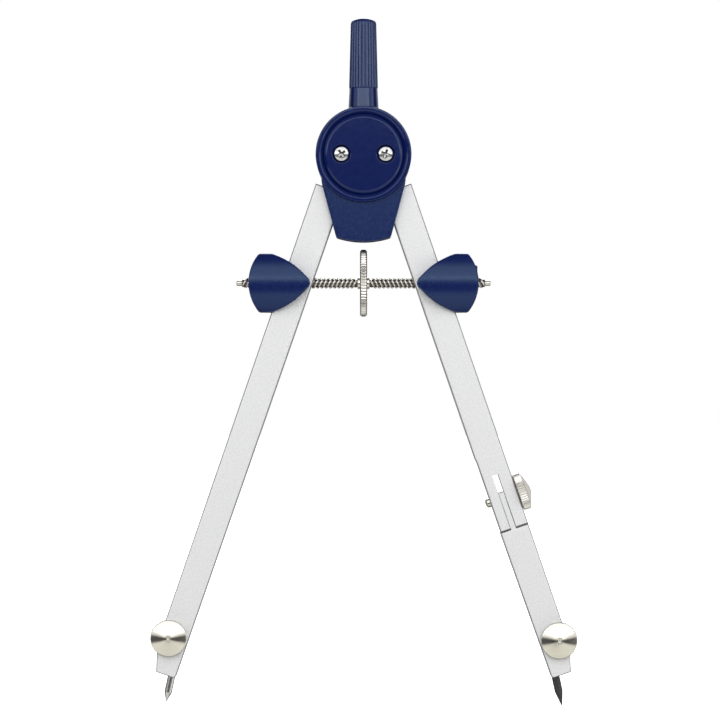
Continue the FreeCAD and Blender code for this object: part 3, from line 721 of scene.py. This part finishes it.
def rim_wall_part():
    """Half of the wall round the top of the head, with a fine bevel at the parting line."""
    start = math.asin(WALL_END / HEAD_R)
    section = [(WALL_R, -SHELL_INNER), (WALL_R, 0), (HEAD_R - PARTING_BEVEL, 0),
               (HEAD_R, -PARTING_BEVEL), (HEAD_R, -SHELL_INNER)]
    return skin([[(r * math.cos(angle), y, r * math.sin(angle)) for r, y in section]
                 for angle in np.linspace(start, math.pi - start, 121)])


def build_front_shell():
    """The front shell, with the bevelled groove round the cover disc's seat."""
    seat_r = COVER_R + COVER_GAP
    profile = rounded([(HEAD_CORE_R, -COVER_SEAT), (seat_r, -COVER_SEAT),
                       (seat_r, -HEAD_HALF + GROOVE_DEPTH), (GROOVE_R, -HEAD_HALF),
                       (RIM_START, -HEAD_HALF)], 0.14, 4)[:-1]
    part = join(shell_part(profile), rim_wall_part())
    piece = new_object("head_front", part, Matrix.Translation(HEAD_CENTRE))
    finish_piece(piece, "head", "blue_plastic", [BLUE, BLUE_SATIN], "head_front_shell")
    satin_skirt(piece)


def satin_skirt(piece):
    """Give the faces outside the round of the head the piece's second, satin material."""
    for face in piece.data.polygons:
        if math.hypot(face.center.x, face.center.z) > (HEAD_R + 0.1) * MM:
            face.material_index = 1


def hexagon(flats):
    """A hexagon's corners about the origin, with two of them on the X axis."""
    corner = flats / 2 / math.cos(math.radians(30))
    angles = [math.radians(60 * i) for i in range(6)]
    return [(corner * math.cos(a), corner * math.sin(a)) for a in angles]


def build_rear_shell():
    """The rear shell: a flat back with two hexagonal nut pockets."""
    back = Matrix.Rotation(math.pi, 4, "Z")
    profile = [(r, -HEAD_HALF) for r in (HEAD_CORE_R, 3, 6, 9, 10.5)]
    part = join(shell_part(profile), rim_wall_part())
    place = Matrix.Translation(HEAD_CENTRE)
    piece = new_object("head_rear", part, place @ back)
    cutters = []
    for side in (-1, 1):
        pocket = prism([(x + side * PIVOT_X, z) for x, z in hexagon(NUT_POCKET_FLATS)],
                       HEAD_HALF - NUT_POCKET_DEPTH, HEAD_HALF + 1)
        cutters.append(new_object("pocket", pocket, place))
    carve(piece, cutters)
    finish_piece(piece, "head", "blue_plastic", [BLUE, BLUE_SATIN], "head_rear_shell")
    satin_skirt(piece)


def build_cover():
    """The round front cover, with a bevelled edge and two counterbored screw holes."""
    profile = rounded([(0, COVER_SEAT), (COVER_R, COVER_SEAT), (COVER_R, COVER_TOP - COVER_BEVEL),
                       (COVER_FLAT_R, COVER_TOP), (0.2, COVER_TOP)], 0.2, 5)
    piece = new_object("head_cover", lathe(profile, 180), standing(HEAD_CENTRE, FRONT))
    lip_bottom, lip_r = COVER_TOP - BORE_LIP, COUNTERBORE_R + BORE_LIP
    bore = rounded([(0, SCREW_SEAT), (COUNTERBORE_R, SCREW_SEAT), (COUNTERBORE_R, lip_bottom),
                    (lip_r, COVER_TOP), (lip_r, COVER_TOP + 1), (0, COVER_TOP + 1)], 0.06, 2)
    shank_r, shank_top = SCREW_R + 0.05, SCREW_SEAT + 0.5
    shank = [(0, 0), (shank_r, 0), (shank_r, shank_top), (0, shank_top)]
    cutters = []
    for side in (-1, 1):
        pivot = HEAD_CENTRE + Vector((side * PIVOT_X * MM, 0, 0))
        cutters.append(new_object("bore", lathe(bore, 72), standing(pivot, FRONT)))
        cutters.append(new_object("hole", lathe(shank, 48), standing(pivot, FRONT)))
    carve(piece, cutters)
    finish_piece(piece, "head", "blue_plastic", [BLUE, BLUE_SHADE], "head_cover_disc")
    for face in piece.data.polygons:
        x, y, z = face.center / MM
        in_bore = math.hypot(abs(x) - PIVOT_X, y) < COUNTERBORE_R + 0.02
        if in_bore and z < lip_bottom:
            face.material_index = 1


def screw_dome(radius):
    """How far the screw head's top stands over its seat at a radius."""
    return SCREW_HEAD_T - SCREW_CROWN * (radius / SCREW_HEAD_R) ** 2.2


def screw_part(turn):
    """A pan-head screw along -Y with a cross recess, its head's seat at SCREW_SEAT."""
    angles = full_turn(144)
    c, s = math.cos(math.radians(turn)), math.sin(math.radians(turn))
    rings = []
    for radius in np.linspace(0.02, SCREW_HEAD_R - 0.12, 40):
        x = radius * np.cos(angles)
        z = radius * np.sin(angles)
        a = np.abs(x * c + z * s)
        b = np.abs(-x * s + z * c)
        inside = np.maximum(np.minimum(CROSS_HALF - b, CROSS_REACH - a),
                            np.minimum(CROSS_HALF - a, CROSS_REACH - b))
        depth = np.clip(inside / CROSS_FLANK, 0, 1) * (CROSS_DEPTH - 0.3 * radius / CROSS_REACH)
        rings.append(np.column_stack([x, -(SCREW_SEAT + screw_dome(radius) - depth), z]))
    side = rounded([(SCREW_HEAD_R - 0.1, SCREW_SEAT + 0.54), (SCREW_HEAD_R, SCREW_SEAT + 0.42),
                    (SCREW_HEAD_R, SCREW_SEAT), (SCREW_R, SCREW_SEAT - 0.02),
                    (SCREW_R, -SCREW_END + 0.3), (SCREW_R - 0.3, -SCREW_END)], 0.08, 3)
    rings += [ring_about_z(radius, angles, -y)[:, [0, 2, 1]] for radius, y in side]
    return skin(rings)


def build_pivot_screws():
    """The two pivot screws as one piece."""
    parts = []
    for side, turn in zip((-1, 1), CROSS_TURN):
        points, faces = screw_part(turn)
        parts.append((points + np.array([side * PIVOT_X, 0, 0]), faces))
    piece = new_object("pivot_screw_pair", join(*parts), Matrix.Translation(HEAD_CENTRE))
    finish_piece(piece, "head", "screw_steel", [SCREW_STEEL, RECESS_SHADE_STEEL, RECESS_FLOOR_SHADE],
                 "pivot_screws")
    # Painted shade in the cross recesses: the steep flanks darkest, the floor less so.
    for face in piece.data.polygons:
        x, y, z = face.center / MM
        radius = math.hypot(abs(x) - PIVOT_X, z)
        sunk = y + SCREW_SEAT + screw_dome(radius)
        if radius < RECESS_R and 0.03 < sunk < 0.7:
            face.material_index = 2 if face.normal.y < -0.85 else 1


# ---- nut housings ----------------------------------------------------------
def housing_outline():
    """The shield outline of a right-hand housing, (x, z) from its nut's centre, corners eased."""
    side_x, side_z = HOUSING_SIDE_END
    mid_x, mid_z = HOUSING_SIDE_MID
    outer_x, flat_x = HOUSING_FLAT
    top = HOUSING_TOP
    points = line_points((outer_x, top), (flat_x, top), 18)
    points += arc_points((flat_x, top), (mid_x, mid_z), (side_x, side_z), 70)
    points += arc_points((side_x, side_z), (HOUSING_APEX, 0), (side_x, -side_z), 24)
    points += arc_points((side_x, -side_z), (mid_x, -mid_z), (flat_x, -top), 70)
    points += line_points((flat_x, -top), (outer_x, -top), 18)
    points += arc_points((outer_x, -top), (HOUSING_OUTER, 0), (outer_x, top), 84)
    ring = np.array(points)
    for _ in range(2):
        ring = (np.roll(ring, 1, axis=0) + 2 * ring + np.roll(ring, -1, axis=0)) / 4
    return ring


def housing_part():
    """The front half of a right-hand housing as a solid down to the middle plane."""
    outline = housing_outline()
    along = np.roll(outline, -1, axis=0) - np.roll(outline, 1, axis=0)
    along /= np.linalg.norm(along, axis=1)[:, None]
    inward = np.column_stack([-along[:, 1], along[:, 0]])
    centre = np.array([HOUSING_MIDDLE, 0.0])
    inward *= np.sign(np.sum(inward * (centre - outline), axis=1))[:, None]
    sagitta = HOUSING_CROWN - HOUSING_EDGE_Y
    crown_r = (HOUSING_TOP ** 2 + sagitta ** 2) / (2 * sagitta)

    def crown(points):
        return crown_r - HOUSING_CROWN - np.sqrt(crown_r ** 2 - points[:, 1] ** 2)

    def ring(spots, y):
        return np.column_stack([spots[:, 0], np.full(len(outline), y), spots[:, 1]])

    edge = HOUSING_EDGE_ROUND
    inner = outline + inward * edge
    rings = []
    for share in np.linspace(0.06, 1.0, 16):
        spots = centre + (inner - centre) * share
        rings.append(ring(spots, crown(spots)))
    for angle in np.radians([18, 36, 54, 72, 90]):
        spots = outline + inward * edge * (1 - math.sin(angle))
        rings.append(ring(spots, crown(spots) + edge * (1 - math.cos(angle))))
    for share in (0.35, 0.7, 1.0):
        rings.append(ring(outline, (crown(outline) + edge) * (1 - share) - PARTING_EASE * share))
    rings.append(ring(outline + inward * PARTING_EASE, 0.0))
    return skin(rings)


def rod(radius, reach):
    """A plain round rod about Z that reaches as far up as down."""
    return lathe([(0, -reach), (radius, -reach), (radius, reach), (0, reach)], 64)


def build_housing(side, rear):
    """One half of one nut housing, with the spaces for the leg, the nut and the spindle cut out."""
    which = "left" if side < 0 else "right"
    half = "rear" if rear else "front"
    flip = -1 if rear else 1
    points, faces = housing_part()
    points = points * np.array([side, flip, 1])
    place = Matrix.Translation(joint_place(f"{which}_nut_swivel"))
    piece = new_object(f"{which}_housing_{half}_shell", (points, faces), place)
    leg_corners = [(LEG_SPACE_X, -LEG_SPACE_Z), (HOUSING_WALL_X, -LEG_SPACE_Z),
                   (HOUSING_WALL_X, LEG_SPACE_Z), (LEG_SPACE_X, LEG_SPACE_Z)]
    leg_space = prism([(side * x, z) for x, z in leg_corners], -SHELL_INNER * flip, 1.0 * flip)
    origin = place.translation
    cutters = [new_object("leg_space", leg_space, place),
               new_object("nut_space", rod(BARREL_R, BARREL_END), standing(origin, FRONT)),
               new_object("spindle_hole", rod(SPINDLE_HOLE_R, SPINDLE_HOLE_REACH),
                          standing(origin, RIGHT))]
    lugs = []
    if rear and side > 0:
        (x0, x1), (y0, y1), (z0, z1) = LUG_X, LUG_Y, LUG_Z
        corners = rounded([(x0, z0), (x1, z0), (x1, z1 - 0.3), (x1 - 0.9, z1), (x0, z1)],
                          0.2, 3, closed=True)
        lugs.append(new_object("lug", prism(corners, y0, y1), place))
    carve(piece, cutters, lugs)
    finish_piece(piece, f"{which}_nut", "blue_plastic", [BLUE_SATIN], f"{which}_housing_{half}")


# ---- spindle and wheel -----------------------------------------------------
def build_spindle():
    """The spindle: a collar in the middle and opposite-hand three-start threads on each side."""
    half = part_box("threaded_spindle")[1].x / MM
    angles = full_turn(60)
    thread_end = COLLAR_HALF + THREADS * THREAD_PITCH
    steps = THREADS * THREAD_ROWS
    side = [(COLLAR_R, 0.0), (COLLAR_R, COLLAR_HALF - 0.1), (COLLAR_R - 0.1, COLLAR_HALF)]
    for k in range(steps + 1):
        x = COLLAR_HALF + (thread_end - COLLAR_HALF) * k / steps
        phase = (x / THREAD_PITCH - angles * THREAD_STARTS / (2 * math.pi)) % 1.0
        ridge = smooth_step(np.clip(1.3 - np.abs(2 * phase - 1) * 2.1, 0, 1))
        fade = min(1.0, k / THREAD_ROWS, (steps - k) / THREAD_ROWS)
        side.append((THREAD_ROOT_R + (SPINDLE_R - THREAD_ROOT_R) * ridge * fade, x))
    side += rounded([(THREAD_ROOT_R, thread_end), (SPINDLE_TIP_R, thread_end + 0.12),
                     (SPINDLE_TIP_R, half - 0.15), (SPINDLE_TIP_R - 0.2, half), (0.1, half)],
                    0.1, 3)
    rings = [ring_about_z(radius, angles, -x) for radius, x in reversed(side)]
    rings += [ring_about_z(radius, angles, x) for radius, x in side[1:]]
    part = skin([ring[:, [2, 0, 1]] for ring in rings])
    piece = new_object("spindle", part, Matrix.Translation(SPINDLE_CENTRE))
    finish_piece(piece, "spindle", "nickel_plate", [THREAD_NICKEL, NICKEL], "threaded_spindle")
    for face in piece.data.polygons:
        if abs(face.center.x) > thread_end * MM:
            face.material_index = 1


def build_wheel():
    """The knurled centre wheel."""
    rim = WHEEL_R - WHEEL_BEVEL
    bore = COLLAR_R + 0.06
    half = WHEEL_HALF_T
    profile = rounded([(bore, -half), (rim, -half), (WHEEL_R, -half + WHEEL_BEVEL),
                       (WHEEL_R, half - WHEEL_BEVEL), (rim, half), (bore, half)], 0.1, 3)
    part = lathe(profile, WHEEL_TEETH * 8, knurl(WHEEL_R, WHEEL_KNURL_DEPTH, WHEEL_TEETH))
    piece = new_object("knurled_wheel", part, standing(SPINDLE_CENTRE, RIGHT))
    finish_piece(piece, "wheel", "nickel_plate", [WHEEL_NICKEL, TURNED], "center_wheel")
    for face in piece.data.polygons:
        if math.hypot(face.center.x, face.center.y) < (rim - 0.05) * MM:
            face.material_index = 1


# ---- clamp screws ----------------------------------------------------------
def clamp_screw(name, base, axis, shank_r, length, body, node):
    """A knurled screw head with a coned face and a small hub, on its shank."""
    rim = KNOB_R - KNOB_FACE_EDGE
    profile = rounded([(shank_r, -length + shank_r * 0.5), (shank_r, 0), (KNOB_R - KNOB_CHAMFER, 0),
                       (KNOB_R, KNOB_CHAMFER), (KNOB_R, KNOB_RIM - KNOB_CHAMFER), (rim, KNOB_RIM)]
                      + KNOB_HUB, 0.06, 3)
    end = [(shank_r * (1 - t * t * 0.55), -length + shank_r * 0.5 * (1 - t))
           for t in np.linspace(1, 0.1, 8)]
    part = lathe([(0.05, -length)] + end + profile, KNOB_TEETH * 8,
                 knurl(KNOB_R, KNURL_DEPTH, KNOB_TEETH))
    piece = new_object(name, part, standing(base, axis))
    finish_piece(piece, body, "nickel_plate", [KNURL_NICKEL, TURNED, NICKEL], node)
    for face in piece.data.polygons:
        x, y, z = face.center
        if math.hypot(x, y) < (rim + 0.05) * MM:
            face.material_index = 1 if z > (KNOB_RIM - 0.05) * MM else 2


def build_clamp_screws():
    """The two foot screws and the fork screw."""
    for side in ("needle", "lead"):
        node = f"{side}_clamp_screw"
        base = joint_place(f"{side}_screw_turn")
        base.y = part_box(node)[0].y + KNOB_HEIGHT * MM
        body = f"{side}_screw"
        clamp_screw(f"{side}_knob", base, FRONT, FOOT_SCREW_R, FOOT_SCREW_LENGTH, body, node)
    fork = joints["fork_screw_turn"]
    clamp_screw("fork_knob", Vector(fork["pos_m"]), Vector(fork["axis"]), FORK_SCREW_R,
                FORK_SCREW_LENGTH, "fork_screw", "fork_clamp_screw")


def axis_place(node, side, length, radius):
    """A frame at a point's lower end: local Z up its axis, local X across the picture."""
    tilt = math.radians(POINT_TILT)
    up = Vector((-side * math.sin(tilt), 0, math.cos(tilt)))
    across = Vector((math.cos(tilt), 0, side * math.sin(tilt)))
    low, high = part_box(node)
    top_z = high.z - radius * MM * abs(across.z)
    top_x = low.x + radius * MM * across.x if side > 0 else high.x - radius * MM * across.x
    tip = Vector((top_x, 0, top_z)) - up * length * MM
    turn = Matrix((across, Vector((0, 1, 0)), up)).transposed().to_4x4()
    return Matrix.Translation(tip) @ turn


def build_needle():
    """The ground steel needle with its cone point."""
    profile = rounded([(0.05, 0.0), (NEEDLE_R, NEEDLE_CONE), (NEEDLE_R, NEEDLE_LENGTH),
                       (0.1, NEEDLE_LENGTH)], 0.08, 3)
    place = axis_place("needle", -1, NEEDLE_LENGTH, NEEDLE_R)
    piece = new_object("needle_pin", lathe(profile, 72), place)
    finish_piece(piece, "needle", "needle_steel", [NEEDLE_STEEL], "needle")


def build_lead():
    """The graphite lead, sanded from both sides to a chisel edge."""
    angles = full_turn(72)
    rings = []
    for height in (*np.linspace(0.0, LEAD_BEVEL, 28), 5.0, LEAD_LENGTH - 0.1, LEAD_LENGTH):
        reach = share_of(LEAD_EDGE, LEAD_R, min(1.0, height / LEAD_BEVEL))
        radius = LEAD_R - (0.1 if height == LEAD_LENGTH else 0.0)
        ring = ring_about_z(radius, angles, height)
        ring[:, 0] = np.clip(ring[:, 0], -reach, reach)
        rings.append(ring)
    piece = new_object("lead_stick", skin(rings), axis_place("lead", 1, LEAD_LENGTH, LEAD_R))
    finish_piece(piece, "lead", "graphite", [GRAPHITE], "lead")


# ---- CAD nodes that stay ---------------------------------------------------
def paint_cad_nodes():
    """The CAD pieces whose shape is right get their materials."""
    finishes = {"left_leg": SILVER, "right_leg": FORK_SILVER, "lower_leg_insert": SILVER,
                "pivot_sleeves": BRASS, "left_barrel_nut": BRASS, "right_barrel_nut": BRASS,
                "friction_washers": SPRING_STEEL, "pivot_nuts": NICKEL}
    for node, material in finishes.items():
        piece = frame["nodes"][node]
        piece.data.materials.clear()
        piece.data.materials.append(material)
        if material in (SILVER, FORK_SILVER):
            bevel = piece.modifiers.new("edges", "BEVEL")
            bevel.width = EDGE_BEVEL * MM
            bevel.segments = 3
            bevel.limit_method = "ANGLE"
            bevel.angle_limit = math.radians(40)
            bevel.harden_normals = True


# ---- stage -----------------------------------------------------------------
CAMERA_DISTANCE = 0.7       # metres, as the next three
VIEW_WIDTH = 0.1782         # what the picture's width covers at the compass
CAMERA_X = -0.00087
CAMERA_Z = 0.0854
SIDE_LEVEL = 0.06           # how bright the surroundings are at the sides and behind
BACK_LEVEL = 0.8
# The front sky's colour at these elevations, in degrees.
SKY_STOPS = [(-90, (0.60, 0.60, 0.56)), (-45, (0.86, 0.86, 0.81)), (-17, (0.95, 0.94, 0.89)),
             (-14, (0.03, 0.03, 0.03)), (1, (0.03, 0.03, 0.03)), (5, (1.05, 1.05, 1.05)),
             (50, (1.05, 1.05, 1.05)), (64, (0.07, 0.07, 0.07)), (90, (0.05, 0.05, 0.05))]
FLOOR_DROP = 13.0           # a little more than the points' lowest reach under rest, 12.4 mm
FLOOR_R = 3000


def build_floor():
    """A wide pale floor, under the lowest reach of the points."""
    part = lathe([(0.1, -1.0), (FLOOR_R, -1.0), (FLOOR_R, 0.0), (0.1, 0.0)], 96)
    floor = new_object("floor", part)
    finish = Finish("floor_paint", Roughness=0.9, Emission_Strength=0.8)
    finish.shader.inputs["Base Color"].default_value = (0.9, 0.9, 0.9, 1)
    finish.shader.inputs["Emission Color"].default_value = (1, 1, 1, 1)
    floor.data.materials.append(finish.material)
    floor.location.z = -FLOOR_DROP * MM
    floor.visible_glossy = False
    floor.visible_diffuse = False


def direction(azimuth, elevation):
    """A unit vector; azimuth 0 points at the camera and grows to its right."""
    turn, rise = math.radians(azimuth), math.radians(elevation)
    return (math.sin(turn) * math.cos(rise), -math.cos(turn) * math.cos(rise), math.sin(rise))


def build_world():
    """Soft studio surroundings.

    They are bright from 5 to 50 degrees and warm below -17, with dark bands between and overhead.
    The dark hole round the camera and the flag behind keep the blue deep, and the glow at the
    right shapes the metal.
    """
    world = bpy.data.worlds.new("studio")
    bpy.context.scene.world = world
    world.use_nodes = True
    tree = world.node_tree
    background = tree.nodes["Background"]
    coordinates = tree.nodes.new("ShaderNodeTexCoord").outputs["Generated"]

    def math_node(kind, operation, one, other):
        node = tree.nodes.new(kind)
        node.operation = operation
        tree.links.new(one, node.inputs[0])
        tree.links.new(other, node.inputs["Scale" if operation == "SCALE" else 1])
        return node.outputs[0]

    def smooth_range(source, start, end, low, high):
        node = tree.nodes.new("ShaderNodeMapRange")
        node.interpolation_type = "SMOOTHSTEP"
        node.inputs["From Min"].default_value = start
        node.inputs["From Max"].default_value = end
        node.inputs["To Min"].default_value = low
        node.inputs["To Max"].default_value = high
        tree.links.new(source, node.inputs["Value"])
        return node.outputs["Result"]

    def towards(azimuth, elevation):
        node = tree.nodes.new("ShaderNodeVectorMath")
        node.operation = "DOT_PRODUCT"
        node.inputs[1].default_value = direction(azimuth, elevation)
        tree.links.new(coordinates, node.inputs[0])
        return node.outputs["Value"]

    def spot(azimuth, elevation, outside, inside, low, high):
        """low beyond the outside angle from a direction, high within the inside one, in degrees."""
        return smooth_range(towards(azimuth, elevation), math.cos(math.radians(outside)),
                            math.cos(math.radians(inside)), low, high)

    split = tree.nodes.new("ShaderNodeSeparateXYZ")
    tree.links.new(coordinates, split.inputs["Vector"])
    height = tree.nodes.new("ShaderNodeMapRange")
    height.inputs["From Min"].default_value = -1.0
    height.inputs["From Max"].default_value = 1.0
    tree.links.new(split.outputs["Z"], height.inputs["Value"])
    ramp = tree.nodes.new("ShaderNodeValToRGB")
    tree.links.new(height.outputs["Result"], ramp.inputs["Fac"])
    elements = ramp.color_ramp.elements
    while len(elements) < len(SKY_STOPS):
        elements.new(0.5)
    for element, (elevation, colour) in zip(elements, SKY_STOPS):
        element.position = (math.sin(math.radians(elevation)) + 1) / 2
        element.color = (*colour, 1)
    front = smooth_range(towards(0, 0), -0.05, 0.3, 0.0, 1.0)
    hole = spot(-4, -9, 21, 15, 1.0, 0.05)
    behind = smooth_range(towards(180, 0), 0.3, 0.8, SIDE_LEVEL, BACK_LEVEL)
    flag = spot(180, 2, 24, 13, 1.0, 0.2)
    glow = spot(78, -8, 24, 14, 0.0, 1.0)
    front_sky = math_node("ShaderNodeVectorMath", "SCALE", ramp.outputs["Color"],
                          math_node("ShaderNodeMath", "MULTIPLY", front, hole))
    rest = math_node("ShaderNodeMath", "ADD",
                     math_node("ShaderNodeMath", "MULTIPLY", behind, flag), glow)
    seen = tree.nodes.new("ShaderNodeLightPath")
    mix = tree.nodes.new("ShaderNodeMix")
    mix.data_type = "RGBA"
    tree.links.new(seen.outputs["Is Camera Ray"], mix.inputs["Factor"])
    tree.links.new(math_node("ShaderNodeVectorMath", "ADD", front_sky, rest), mix.inputs["A"])
    mix.inputs["B"].default_value = (1.0, 1.0, 1.0, 1)
    tree.links.new(mix.outputs["Result"], background.inputs["Color"])


def softbox(name, width, height, watts, azimuth, elevation, distance):
    """A rectangular area light that faces the compass."""
    light = bpy.data.lights.new(name, "AREA")
    light.shape = "RECTANGLE"
    light.size = width
    light.size_y = height
    light.energy = watts
    lamp = bpy.data.objects.new(name, light)
    bpy.context.scene.collection.objects.link(lamp)
    middle = Vector((0, 0, 0.09))
    away = Vector(direction(azimuth, elevation))
    lamp.location = middle + away * distance
    lamp.rotation_euler = (-away).to_track_quat("-Z", "Y").to_euler()


def build_lights():
    """A key above the camera, a low panel and two strips that light the neck, and a back light."""
    softbox("key_softbox", 1.2, 0.45, 0.6, 10, 36, 1.0)
    softbox("low_panel", 1.9, 0.19, 1.9, -3, 15.5, 1.0)
    softbox("left_strip", 0.13, 0.19, 0.1, -46, 12, 1.2)
    softbox("right_strip", 0.13, 0.19, 0.1, 38, 12, 1.2)
    softbox("back_softbox", 0.9, 0.6, 8.0, 180, 42, 1.1)


def build_camera():
    """The camera at the front, level, a little left of the middle."""
    data = bpy.data.cameras.new("camera")
    data.sensor_width = 36.0
    data.lens = data.sensor_width * CAMERA_DISTANCE / VIEW_WIDTH
    camera = bpy.data.objects.new("camera", data)
    bpy.context.scene.collection.objects.link(camera)
    camera.location = (CAMERA_X, -CAMERA_DISTANCE, CAMERA_Z)
    camera.rotation_euler = (math.radians(90), 0, 0)
    bpy.context.scene.camera = camera


build_handle()
build_front_shell()
build_rear_shell()
build_cover()
build_pivot_screws()
for housing_side in (-1, 1):
    for is_rear in (False, True):
        build_housing(housing_side, is_rear)
build_spindle()
build_wheel()
build_clamp_screws()
build_needle()
build_lead()
paint_cad_nodes()
build_floor()
build_world()
build_lights()
build_camera()
bpy.context.scene.view_settings.view_transform = "Standard"
